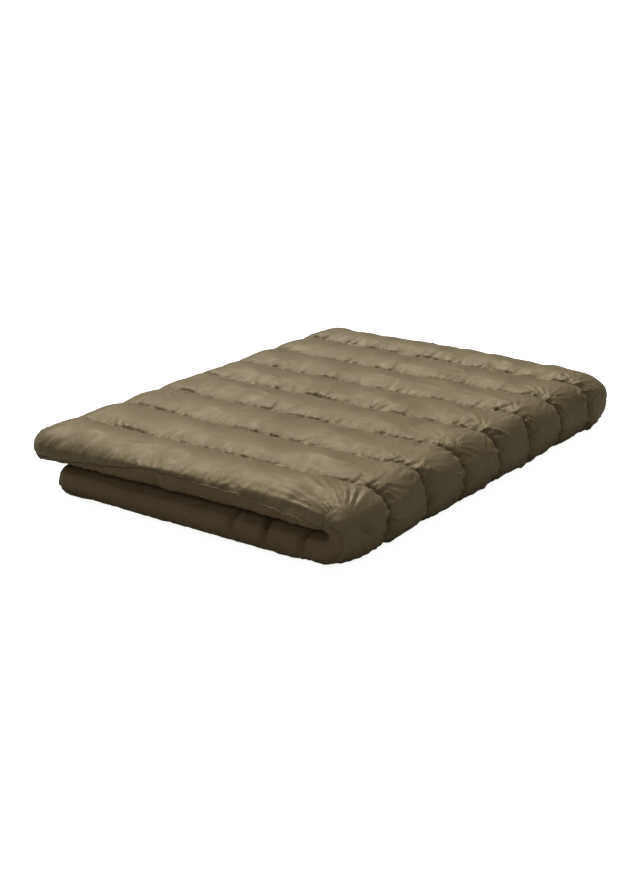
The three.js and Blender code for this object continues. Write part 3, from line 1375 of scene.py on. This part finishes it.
@dataclass
class Stitching:
    """Rows of thread stitches, set along lines on the cloth by geometry nodes."""

    pitch: float = 0.0046
    stitch: float = 0.0034
    thread: float = 0.00042
    sunk: float = 0.6
    askew: float = 0.10
    seed: int = 7

    def __post_init__(self) -> None:
        """Builds the node tree once, for every row of stitches."""
        self.tree = bpy.data.node_groups.new("thread_stitches", "GeometryNodeTree")
        self.sockets: dict[str, str] = {}
        for name, kind in (
            ("Lines", "Geometry"), ("Pitch", "Float"), ("Stitch Length", "Float"), ("Thread Radius", "Float"),
            ("Askew", "Float"), ("Seed", "Int"), ("Thread", "Material"), ("Stitches", "Geometry"),
        ):
            way = "OUTPUT" if name == "Stitches" else "INPUT"
            made = self.tree.interface.new_socket(name=name, in_out=way, socket_type="NodeSocket" + kind)
            self.sockets[name] = made.identifier
        self.fill_tree()

    def fill_tree(self) -> None:
        """Fills the tree, which sets a stitch at every pitch along its lines."""

        def node(kind: str, options: dict[str, object] | None = None, **values: object) -> bpy.types.Node:
            """Adds a node, with the values of its options and of its inputs."""
            made = self.tree.nodes.new(kind)
            for key, value in (options or {}).items():
                setattr(made, key, value)
            for key, value in values.items():
                made.inputs[key].default_value = value
            return made

        ins, outs = node("NodeGroupInput"), node("NodeGroupOutput")
        vector, times = {"data_type": "FLOAT_VECTOR"}, {"operation": "MULTIPLY"}
        curve, spaced = node("GeometryNodeMeshToCurve"), node("GeometryNodeResampleCurve", {"mode": "LENGTH"})
        lift = node("GeometryNodeInputNamedAttribute", vector, Name="lift")
        tangent = node("GeometryNodeInputTangent")
        axes = node("FunctionNodeAxesToRotation", {"primary_axis": "X", "secondary_axis": "Z"})
        tilt, as_turn = node("FunctionNodeRandomValue", vector), node("FunctionNodeEulerToRotation")
        turned = node("FunctionNodeRotateRotation", {"rotation_space": "LOCAL"})
        minus, half = node("ShaderNodeMath", times), node("ShaderNodeMath", times)
        minus.inputs[1].default_value, half.inputs[1].default_value = -1.0, 0.5
        least, most, size = (node("ShaderNodeCombineXYZ") for _ in range(3))
        ball = node("GeometryNodeMeshUVSphere", Segments=6, Rings=5, Radius=1.0)
        sized, placed = node("GeometryNodeTransform"), node("GeometryNodeInstanceOnPoints")
        rounded, real = node("GeometryNodeSetShadeSmooth"), node("GeometryNodeRealizeInstances")
        dressed = node("GeometryNodeSetMaterial")
        for source, output, target, place in (
            (ins, "Lines", curve, "Mesh"), (curve, "Curve", spaced, "Curve"),
            (ins, "Pitch", spaced, "Length"), (spaced, "Curve", placed, "Points"),
            (tangent, "Tangent", axes, "Primary Axis"),
            (lift, "Attribute", axes, "Secondary Axis"), (ins, "Askew", minus, 0),
            *((minus, 0, least, axis) for axis in "XYZ"), *((ins, "Askew", most, axis) for axis in "XYZ"),
            (least, 0, tilt, "Min"), (most, 0, tilt, "Max"), (ins, "Seed", tilt, "Seed"),
            (tilt, "Value", as_turn, "Euler"), (axes, "Rotation", turned, "Rotation"),
            (as_turn, "Rotation", turned, "Rotate By"), (turned, "Rotation", placed, "Rotation"),
            (ins, "Stitch Length", half, 0), (half, 0, size, "X"), (ins, "Thread Radius", size, "Y"),
            (ins, "Thread Radius", size, "Z"), (ball, "Mesh", sized, "Geometry"), (size, 0, sized, "Scale"),
            (sized, "Geometry", placed, "Instance"), (placed, "Instances", rounded, "Geometry"),
            (rounded, "Geometry", real, "Geometry"), (real, "Geometry", dressed, "Geometry"),
            (ins, "Thread", dressed, "Material"), (dressed, "Geometry", outs, "Stitches"),
        ):
            self.tree.links.new(source.outputs[output], target.inputs[place])

    def piece(self, name: str, lines: SeamLines, finish: bpy.types.Material) -> bpy.types.Object:
        """Sets stitches along lines on the cloth.

        Args:
            name: The piece's name.
            lines: For each line, its points and the direction that the cloth faces at each.
            finish: The thread's material.

        Returns:
            The stitches, as one plain mesh.
        """
        points = np.concatenate([line for line, _ in lines])
        lift = np.concatenate([facing for _, facing in lines])
        ends = np.cumsum([len(line) for line, _ in lines])
        edges = [(at, at + 1) for at in range(len(points) - 1) if at + 1 not in ends]
        mesh = bpy.data.meshes.new(name)
        mesh.from_pydata((points + lift * self.sunk * self.thread).tolist(), edges, [])
        lifts = mesh.attributes.new("lift", "FLOAT_VECTOR", "POINT")
        lifts.data.foreach_set("vector", lift.astype(np.float32).ravel())
        made = added(name, mesh)
        sewn = made.modifiers.new("stitches", "NODES")
        sewn.node_group = self.tree
        for socket, value in (
            ("Pitch", self.pitch), ("Stitch Length", self.stitch), ("Thread Radius", self.thread),
            ("Askew", self.askew), ("Seed", self.seed), ("Thread", finish),
        ):
            sewn[self.sockets[socket]] = value
        return baked(made)


# ---- Finishes ----


def opaque(colour: Iterable[float]) -> tuple[float, ...]:
    """A colour with its alpha."""
    return (*colour, 1.0)


class NodeBench:
    """Adds and joins the nodes of one shader tree."""

    def __init__(self, tree: bpy.types.NodeTree) -> None:
        """Keeps the tree that the nodes go in."""
        self.tree = tree

    def node(self, kind: str, inputs: dict | None = None, **options: object) -> bpy.types.Node:
        """Adds a node.

        Args:
            kind: Its Blender type, without the word in front that all shader nodes share.
            inputs: Values or sockets for its inputs, by name or number.
            options: Values of the node's own options.

        Returns:
            The node.
        """
        made = self.tree.nodes.new("ShaderNode" + kind)
        for name, value in options.items():
            setattr(made, name, value)
        self.feed(made, inputs or {})
        return made

    def feed(self, node: bpy.types.Node, inputs: dict) -> None:
        """Joins each of a node's inputs to a socket, or sets its value."""
        for name, value in inputs.items():
            if isinstance(value, bpy.types.NodeSocket):
                self.tree.links.new(value, node.inputs[name])
            else:
                node.inputs[name].default_value = value

    def maths(self, operation: str, *values: object) -> bpy.types.NodeSocket:
        """Adds a Math node and gives its result."""
        return self.node("Math", dict(enumerate(values)), operation=operation).outputs[0]

    def times(self, first: object, second: object) -> bpy.types.NodeSocket:
        """Multiplies two values."""
        return self.maths("MULTIPLY", first, second)

    def plus(self, first: object, second: object) -> bpy.types.NodeSocket:
        """Adds two values."""
        return self.maths("ADD", first, second)

    def ranged(self, value: object, low: tuple, high: tuple = (0.0, 1.0)) -> bpy.types.NodeSocket:
        """Maps a value from one range to another, and holds it inside."""
        names = ("Value", "From Min", "From Max", "To Min", "To Max")
        return self.node("MapRange", dict(zip(names, (value, *low, *high))), clamp=True).outputs["Result"]

    def from_middle(self, value: object) -> bpy.types.NodeSocket:
        """How far a value from 0 to 1 is from a half, doubled."""
        return self.maths("ABSOLUTE", self.maths("SUBTRACT", self.times(value, 2.0), 1.0))

    def ridge(self, value: object, width: float) -> bpy.types.NodeSocket:
        """A ridge of the given width where a value passes a half."""
        return self.maths("SUBTRACT", 1.0, self.ranged(self.from_middle(value), (0.0, width)))

    def blended(self, share: object, first: object, second: object) -> bpy.types.NodeSocket:
        """Mixes two colours."""
        return self.node("Mix", {"Factor": share, 6: first, 7: second}, data_type="RGBA").outputs[2]

    def noise(self, vector: object, *values: object) -> bpy.types.NodeSocket:
        """Gives a noise texture's value, from its scale, detail, roughness and distortion."""
        names = ("Vector", "Scale", "Detail", "Roughness", "Distortion")
        return self.node("TexNoise", dict(zip(names, (vector, *values)))).outputs["Fac"]

    def stretched(self, vector: object, by: object) -> bpy.types.NodeSocket:
        """Multiplies a vector by another."""
        return self.node("VectorMath", {0: vector, 1: by}, operation="MULTIPLY").outputs[0]

    def placed(self, tree: bpy.types.NodeTree, vector: object, **values: float) -> Collection:
        """Places a shader group and gives its outputs."""
        return self.node("Group", {"Vector": vector, **values}, node_tree=tree).outputs

    def bumped(self, height: object) -> bpy.types.NodeSocket:
        """Turns a height in metres into a normal."""
        return self.node("Bump", {"Distance": 1.0, "Height": height}).outputs["Normal"]


def new_material(name: str) -> tuple[bpy.types.Material, NodeBench, bpy.types.Node]:
    """Starts a material, and gives it with the bench of its nodes and its shader."""
    made = bpy.data.materials.new(name)
    made.use_nodes = True
    return made, NodeBench(made.node_tree), made.node_tree.nodes["Principled BSDF"]


class ClothEffects:
    """The shader groups that more than one finish uses."""

    def __init__(self) -> None:
        """Builds each group once."""
        self.weave = self.build_weave()
        self.gathers = self.build_gathers()
        self.crumple = self.build_crumple()
        self.wear = self.build_wear()

    def start(self, name: str, outputs: tuple[str, str], **inputs: float) -> tuple:
        """Starts a group that reads a vector.

        Args:
            name: The group's name.
            outputs: The names of its outputs.
            inputs: The name and value of each of its other inputs.

        Returns:
            The bench, the group's inputs to read from, and its output node.
        """
        tree = bpy.data.node_groups.new(name, "ShaderNodeTree")
        tree.interface.new_socket(name="Vector", in_out="INPUT", socket_type="NodeSocketVector")
        for label, value in inputs.items():
            made = tree.interface.new_socket(name=label, in_out="INPUT", socket_type="NodeSocketFloat")
            made.default_value = value
        for label in outputs:
            tree.interface.new_socket(name=label, in_out="OUTPUT", socket_type="NodeSocketFloat")
        return NodeBench(tree), tree.nodes.new("NodeGroupInput").outputs, tree.nodes.new("NodeGroupOutput")

    def build_weave(self) -> bpy.types.NodeTree:
        """Threads over and under each other, with a few thicker ones."""
        bench, ins, outs = self.start("taffeta_weave", ("Height", "Shade"), Threads=1800.0)
        parts = bench.node("SeparateXYZ", {0: ins["Vector"]}).outputs
        turns = [bench.times(bench.times(parts[axis], ins["Threads"]), math.pi) for axis in "XY"]
        over = bench.ranged(bench.times(*(bench.maths("SINE", turn) for turn in turns)), (-1.0, 1.0))
        slub = bench.noise(bench.stretched(ins["Vector"], (14.0, 420.0, 1.0)), 1.0, 2.0, 0.5, 0.0)
        height = bench.plus(over, bench.times(slub, 0.8))
        bench.feed(outs, {"Height": height, "Shade": bench.ranged(slub, (0.35, 0.65))})
        return bench.tree

    def build_gathers(self) -> bpy.types.NodeTree:
        """Small gathers that run out of each baffle seam and fade towards the middle of the channel."""
        sizes = {"Channel": 0.18, "Across": 12.0, "Along": 95.0}
        bench, ins, outs = self.start("seam_gathers", ("Height", "Mask"), **sizes)
        across = bench.node("SeparateXYZ", {0: ins["Vector"]}).outputs["Y"]
        place = bench.maths("FRACT", bench.maths("DIVIDE", across, ins["Channel"]))
        mask = bench.maths("POWER", bench.from_middle(place), 2.4)
        scale = bench.node("CombineXYZ", {"X": ins["Along"], "Y": ins["Across"]}).outputs[0]
        waves = bench.noise(bench.stretched(ins["Vector"], scale), 1.0, 2.5, 0.55, 0.9)
        height = bench.times(bench.ridge(waves, 0.42), bench.plus(mask, 0.06))
        bench.feed(outs, {"Height": height, "Mask": mask})
        return bench.tree

    def build_crumple(self) -> bpy.types.NodeTree:
        """The small flats and soft ridges of thin cloth that has been packed away."""
        bench, ins, outs = self.start("packed_crumple", ("Height", "Mask"), Scale=24.0, Twist=0.8)
        broad, fine = (
            bench.noise(ins["Vector"], scale, 2.0, 0.5, ins["Twist"])
            for scale in (ins["Scale"], bench.times(ins["Scale"], 3.1))
        )
        ridges = (bench.times(bench.ridge(value, 0.5), share) for value, share in ((broad, 0.7), (fine, 0.3)))
        bench.feed(outs, {"Height": bench.plus(*ridges), "Mask": bench.ranged(broad, (0.3, 0.7))})
        return bench.tree

    def build_wear(self) -> bpy.types.NodeTree:
        """Broad soft patches where the cloth is a little faded or dusty."""
        bench, ins, outs = self.start("soft_wear", ("Fade", "Dust"), Scale=3.0, Amount=0.5)
        fade = bench.ranged(bench.noise(ins["Vector"], ins["Scale"], 3.0, 0.55, 0.3), (0.35, 0.7))
        specks = bench.noise(ins["Vector"], bench.times(ins["Scale"], 60.0), 2.0, 0.6, 0.0)
        dust = bench.times(bench.ranged(specks, (0.52, 0.75)), fade)
        bench.feed(outs, {"Fade": bench.times(fade, ins["Amount"]), "Dust": bench.times(dust, ins["Amount"])})
        return bench.tree


@dataclass(frozen=True)
class NylonFinish:
    """Thin, closely woven satin nylon."""

    name: str
    colour: tuple[float, float, float]
    faded: tuple[float, float, float]
    channel: float
    gather_depth: float = 0.0012
    crumple_depth: float = 0.0005
    weave_depth: float = 0.00004
    threads: float = 1800.0
    thread_shade: float = 0.6
    dust: tuple[float, float, float] = (0.42, 0.38, 0.31)
    wear: float = 0.55
    roughness: tuple[float, float] = (0.38, 0.52)
    lustre: float = 0.095
    gloss: float = 1.14
    gloss_tint: tuple[float, float, float] = (1.0, 0.84, 0.58)
    sheen: float = 0.01
    sheen_tint: tuple[float, float, float] = (0.9, 0.8, 0.62)

    def make(self, effects: ClothEffects) -> bpy.types.Material:
        """Builds the material from the shader groups."""
        made, bench, shader = new_material(self.name)
        cut = bench.node("UVMap", uv_map="cut").outputs["UV"]
        weave = bench.placed(effects.weave, cut, Threads=self.threads)
        gathers = bench.placed(effects.gathers, cut, Channel=self.channel)
        crumple = bench.placed(effects.crumple, cut)
        wear = bench.placed(effects.wear, cut, Amount=self.wear)
        body = bench.blended(wear["Fade"], opaque(self.colour), opaque(self.faded))
        shaded = opaque(self.thread_shade * part for part in self.colour)
        thready = bench.blended(bench.times(weave["Shade"], 0.10), body, shaded)
        rough = bench.ranged(crumple["Mask"], (0.0, 1.0), self.roughness)
        folds = bench.times(gathers["Height"], self.gather_depth)
        height = bench.plus(folds, bench.times(crumple["Height"], self.crumple_depth))
        bench.feed(shader, {
            "Base Color": bench.blended(bench.times(wear["Dust"], 0.16), thready, opaque(self.dust)),
            "Roughness": bench.plus(rough, bench.times(wear["Dust"], 0.2)),
            "Normal": bench.bumped(bench.plus(height, bench.times(weave["Height"], self.weave_depth))),
            "Metallic": self.lustre,
            "IOR": self.gloss,
            "Specular Tint": opaque(self.gloss_tint),
            "Sheen Weight": self.sheen,
            "Sheen Roughness": 0.4,
            "Sheen Tint": opaque(self.sheen_tint),
        })
        return made


@dataclass(frozen=True)
class SoftFinish:
    """Matt fibres: down, thread or plain baffle cloth."""

    name: str
    colour: tuple[float, float, float]
    shade: tuple[float, float, float]
    roughness: float
    grain: float
    depth: float
    sheen: float = 0.1
    rough_spread: float = 0.06

    def make(self, effects: ClothEffects) -> bpy.types.Material:
        """Builds the material from the shader groups."""
        made, bench, shader = new_material(self.name)
        place = bench.node("TexCoord").outputs["Object"]
        crumple = bench.placed(effects.crumple, place, Scale=self.grain)
        wear = bench.placed(effects.wear, place)
        tone = bench.blended(crumple["Mask"], opaque(self.colour), opaque(self.shade))
        rough = self.roughness - self.rough_spread, self.roughness + self.rough_spread
        bench.feed(shader, {
            "Base Color": bench.blended(wear["Dust"], tone, opaque(self.shade)),
            "Roughness": bench.ranged(crumple["Mask"], (0.0, 1.0), rough),
            "Normal": bench.bumped(bench.times(crumple["Height"], self.depth)),
            "Sheen Weight": self.sheen,
        })
        return made


# ---- The studio ----


@dataclass(frozen=True)
class Studio:
    """A pale floor, soft light and the camera."""

    floor_half: float = 60.0
    floor_colour: tuple[float, float, float] = (0.93, 0.93, 0.93)
    floor_bounce: float = 0.46
    floor_glow: float = 0.92
    sky: float = 0.31
    sun: float = 3.6
    sun_spread: float = 34.0
    sun_from: tuple[float, float, float] = (-0.66, 0.52, 1.0)
    camera_at: tuple[float, float, float] = (2.276, -3.29, 1.376)
    camera_turn: float = 35.42
    camera_tilt: float = 18.78
    lens: float = 60.84
    sensor: float = 36.0

    def build_floor(self) -> None:
        """Lays the floor, in rings that grow outwards, with a pale procedural finish."""
        reach = np.concatenate([[0.0], np.geomspace(1.5, self.floor_half, 8)])
        side = np.concatenate([-reach[:0:-1], reach])
        x, y = np.meshgrid(side, side, indexing="ij")
        points = np.stack([x, y, np.zeros_like(x)], axis=-1)
        floor = make_mesh("floor", points, grid_faces(*x.shape, flipped=False))
        made, bench, shader = new_material("pale_floor")
        tone = bench.noise(bench.node("TexCoord").outputs["Object"], 1.3, 2.0, 0.5, 0.0)
        near = opaque(0.985 * part for part in self.floor_colour)
        shown = bench.node("LightPath").outputs["Is Camera Ray"]
        seen = bench.blended(tone, opaque(self.floor_colour), near)
        bench.feed(shader, {
            "Base Color": bench.blended(shown, opaque((self.floor_bounce,) * 3), seen),
            "Emission Color": opaque((1.0,) * 3),
            "Emission Strength": bench.times(shown, self.floor_glow),
            "Roughness": 0.9,
            "Specular IOR Level": 0.1,
        })
        floor.data.materials.append(made)
        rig.stage(floor)

    def build_light(self) -> None:
        """Lights the studio evenly from all round, and softly from high up behind the free side."""
        world = bpy.data.worlds.new("studio")
        world.use_nodes = True
        bench = NodeBench(world.node_tree)
        shown = bench.node("LightPath").outputs["Is Camera Ray"]
        strength = bench.ranged(shown, (0.0, 1.0), (self.sky, 1.0))
        bench.feed(world.node_tree.nodes["Background"], {"Color": opaque((1.0,) * 3), "Strength": strength})
        bpy.context.scene.world = world
        lamp = bpy.data.lights.new("soft_key", "SUN")
        lamp.energy, lamp.angle = self.sun, math.radians(self.sun_spread)
        made = added("soft_key", lamp)
        made.rotation_euler = Vector(self.sun_from).to_track_quat("Z", "Y").to_euler()

    def build_camera(self) -> None:
        """Sets up the camera."""
        lens = bpy.data.cameras.new("camera")
        lens.lens, lens.sensor_fit, lens.sensor_height = self.lens, "VERTICAL", self.sensor
        turn, tilt = math.radians(self.camera_turn), math.radians(self.camera_tilt)
        ahead = Vector((-math.sin(turn) * math.cos(tilt), math.cos(turn) * math.cos(tilt), -math.sin(tilt)))
        made = added("camera", lens)
        made.location = self.camera_at
        made.rotation_euler = ahead.to_track_quat("-Z", "Y").to_euler()
        bpy.context.scene.camera = made
        bpy.context.scene.view_settings.view_transform = "Standard"

    def build(self) -> None:
        """Builds all of it."""
        self.build_floor()
        self.build_light()
        self.build_camera()


# ---- The quilt ----


class Slot(Enum):
    """The material slots of the frame that the pieces take their finishes from."""

    SHELL = "shell_fabric"
    LINING = "lining_fabric"
    HEM = "hem_fabric"
    BAFFLE = "baffle_fabric"
    DOWN = "down"


@dataclass
class CampQuilt:
    """The whole quilt: two sheets, their hem, the walls, the down and the stitches."""

    quilt: FoldedQuilt

    def __post_init__(self) -> None:
        """Blows up the sheets and makes the finishes."""
        plan = CreasePlan(self.quilt)
        self.shell = Sheet(
            self.quilt, Face.SHELL, ClothBench(), upper_step=0.0058, lower_step=0.0095, rows_in_channel=32,
            seam_depth=0.0150, fold_seam_depth=0.0230, fold_flatness=3.8, fold_opening=0.0, fullness=0.85,
            side_reach=0.062, end_reach=(0.062, 0.105), fold_reach=0.150, slack=(0.05, 0.03), pressure=3.0,
            overhang_knots=(
                (-0.90, 0.004), (0.0, 0.003), (0.26, 0.0), (0.55, 0.003), (0.88, 0.012), (1.21, 0.014),
            ),
            creases=plan.for_shell(), under_calm=0.55, seed=11,
        )
        self.lining = Sheet(
            self.quilt, Face.LINING, ClothBench(), upper_step=0.0085, lower_step=0.0070, rows_in_channel=24,
            seam_depth=0.011, fold_seam_depth=0.004, fold_flatness=0.0, fold_opening=0.007, fullness=0.50,
            side_reach=0.036, end_reach=(0.034, 0.038), fold_reach=0.020, slack=(0.02, 0.02), pressure=1.0,
            overhang_knots=(
                (-0.90, 0.013), (-0.30, 0.012), (0.0, 0.007), (0.13, 0.007), (0.50, 0.004), (1.21, 0.002),
            ),
            creases=plan.for_lining(), fold_calm=0.96, lumps=0.0010, row_crowding=0.7, seed=23,
        )
        self.hem = Hem(self.quilt)
        self.walls = BaffleWalls(self.quilt, self.shell, self.lining)
        self.fill = DownFill(self.quilt, self.shell, self.lining)
        self.stitching = Stitching()
        effects = ClothEffects()
        channel = self.quilt.pitch * (1.0 + self.shell.slack[1])
        finishes = {
            Slot.SHELL: NylonFinish("shell_satin", (0.147, 0.114, 0.062), (0.166, 0.130, 0.074), channel),
            Slot.LINING: NylonFinish("lining_satin", (0.147, 0.106, 0.060), (0.162, 0.121, 0.070), channel),
            Slot.HEM: NylonFinish("hem_satin", (0.140, 0.108, 0.061), (0.156, 0.121, 0.071), channel, 0.0008),
            Slot.BAFFLE: SoftFinish(
                "baffle_cloth", (0.09, 0.08, 0.055), (0.075, 0.066, 0.045), 0.8, 60.0, 0.0002
            ),
            Slot.DOWN: SoftFinish("down_clusters", (0.8, 0.77, 0.7), (0.7, 0.66, 0.58), 0.92, 45.0, 0.002, 0.4),
        }
        self.finishes = {slot: finish.make(effects) for slot, finish in finishes.items()}
        thread = SoftFinish("sewing_thread", (0.17, 0.135, 0.085), (0.12, 0.095, 0.06), 0.6, 900.0, 0.0001)
        self.thread = thread.make(effects)

    def finished(self, made: bpy.types.Object, half: Half, slot: Slot, nodes: list[str]) -> bpy.types.Object:
        """Dresses a piece, bends it across its hinge and says which solids it stands for.

        Args:
            made: The piece.
            half: The half that it belongs to.
            slot: Where its finish comes from.
            nodes: The solids of the frame that it replaces.

        Returns:
            The piece.
        """
        quilt = self.quilt
        if not made.data.materials:
            made.data.materials.append(self.finishes[slot])
        straight = (quilt.fold_x, 0.0, quilt.fold_z + half.side * quilt.crest)
        crown = (quilt.fold_x + quilt.crest, 0.0, quilt.fold_z)
        start, end = (straight, crown) if half is Half.LOWER else (crown, straight)
        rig.blend(made, *half.bodies, start=start, end=end)
        weights = quilt.bend_weights(values_of(made.data.vertices, "co", 3), half)
        made.data.attributes["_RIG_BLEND"].data.foreach_set("value", weights.astype(np.float32))
        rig.slot(made, slot.value)
        if nodes:
            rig.replaces(made, *nodes)
        LOG.info("%s: %d faces", made.name, len(made.data.polygons))
        return made

    def seam_lines(self, sheet: Sheet, half: Half) -> SeamLines:
        """The lines of stitches along the baffle seams of one piece of a sheet."""
        columns = sheet.part_of(half)
        inside = slice(2, -1) if half is Half.LOWER else slice(1, -2)
        points, facing = sheet.points[columns][inside], sheet.facing[columns][inside]
        return [(points[:, line], facing[:, line]) for line in sheet.seam_lines]

    def hem_lines(self, half: Half) -> SeamLines:
        """The lines of stitches on the two sides of the hem."""
        lines = []
        for side in (-1.0, 1.0):
            skin = side * self.hem.thick / 2.0
            lifts = (skin, skin + side * 0.001)
            on, above = (self.hem.around(half, self.hem.stitched_at, lift) for lift in lifts)
            lines.append((on, directions(above - on)))
        return lines

    def build_half(self, half: Half) -> None:
        """Makes every piece of one half."""
        name = half.value
        hem_nodes = [f"hem_{name}", "hem_fold_front", "hem_fold_back"]
        hem = self.finished(self.hem.piece(half), half, Slot.HEM, hem_nodes)
        hem_thread = self.stitching.piece(f"hem_{name}_stitches", self.hem_lines(half), self.thread)
        self.finished(hem_thread, half, Slot.HEM, [])
        skins = {}
        for sheet, slot in ((self.shell, Slot.SHELL), (self.lining, Slot.LINING)):
            face = sheet.face.value
            skin = self.finished(sheet.piece(half), half, slot, [f"{face}_{name}", f"{face}_fold"])
            lines = self.seam_lines(sheet, half)
            thread = self.stitching.piece(f"{face}_{name}_stitches", lines, self.thread)
            skins[sheet.face] = (skin, self.finished(thread, half, slot, []), sheet.flat_size(half))
        fills = []
        for channel in range(1, self.quilt.channels + 1):
            nodes = [f"down_fill_{channel}_{name}", f"down_fill_{channel}_fold"]
            down = self.finished(self.fill.piece(channel, half), half, Slot.DOWN, nodes)
            fills.append(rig.padded(down, fill=0.8))
        for seam in range(1, self.quilt.channels):
            nodes = [f"baffle_wall_{seam}_{name}", f"baffle_wall_{seam}_fold"]
            wall = self.walls.piece(seam, half)
            size = self.walls.flat_size(wall)
            self.finished(wall, half, Slot.BAFFLE, nodes)
            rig.sheet(wall, flat=size, held="stretched", rests_on=[skins[face][0] for face in Face])
        shell, shell_thread, shell_flat = skins[Face.SHELL]
        lining, lining_thread, lining_flat = skins[Face.LINING]
        edging = [hem, hem_thread, shell_thread]
        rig.sheet(shell, flat=shell_flat, held="folded", rests_on=fills, with_pieces=edging)
        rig.sheet(lining, flat=lining_flat, held="folded", rests_on=fills, with_pieces=[lining_thread])


def plain(box: tuple[Vector, Vector]) -> list[list[float]]:
    """A box as plain lists of numbers."""
    return [[float(value) for value in corner] for corner in box]


def main() -> None:
    """Builds the quilt around its frame, and the studio round the quilt."""
    logging.basicConfig(level=logging.INFO, format="%(message)s")
    frame_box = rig.bounds()
    Studio().build()
    quilt = CampQuilt(FoldedQuilt.from_frame(frame))
    for half in Half:
        quilt.build_half(half)
    with open("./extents.json", "w", encoding="utf-8") as sizes:
        json.dump({"frame": plain(frame_box), "visual": plain(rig.bounds())}, sizes)


if __name__ == "__main__":
    main()
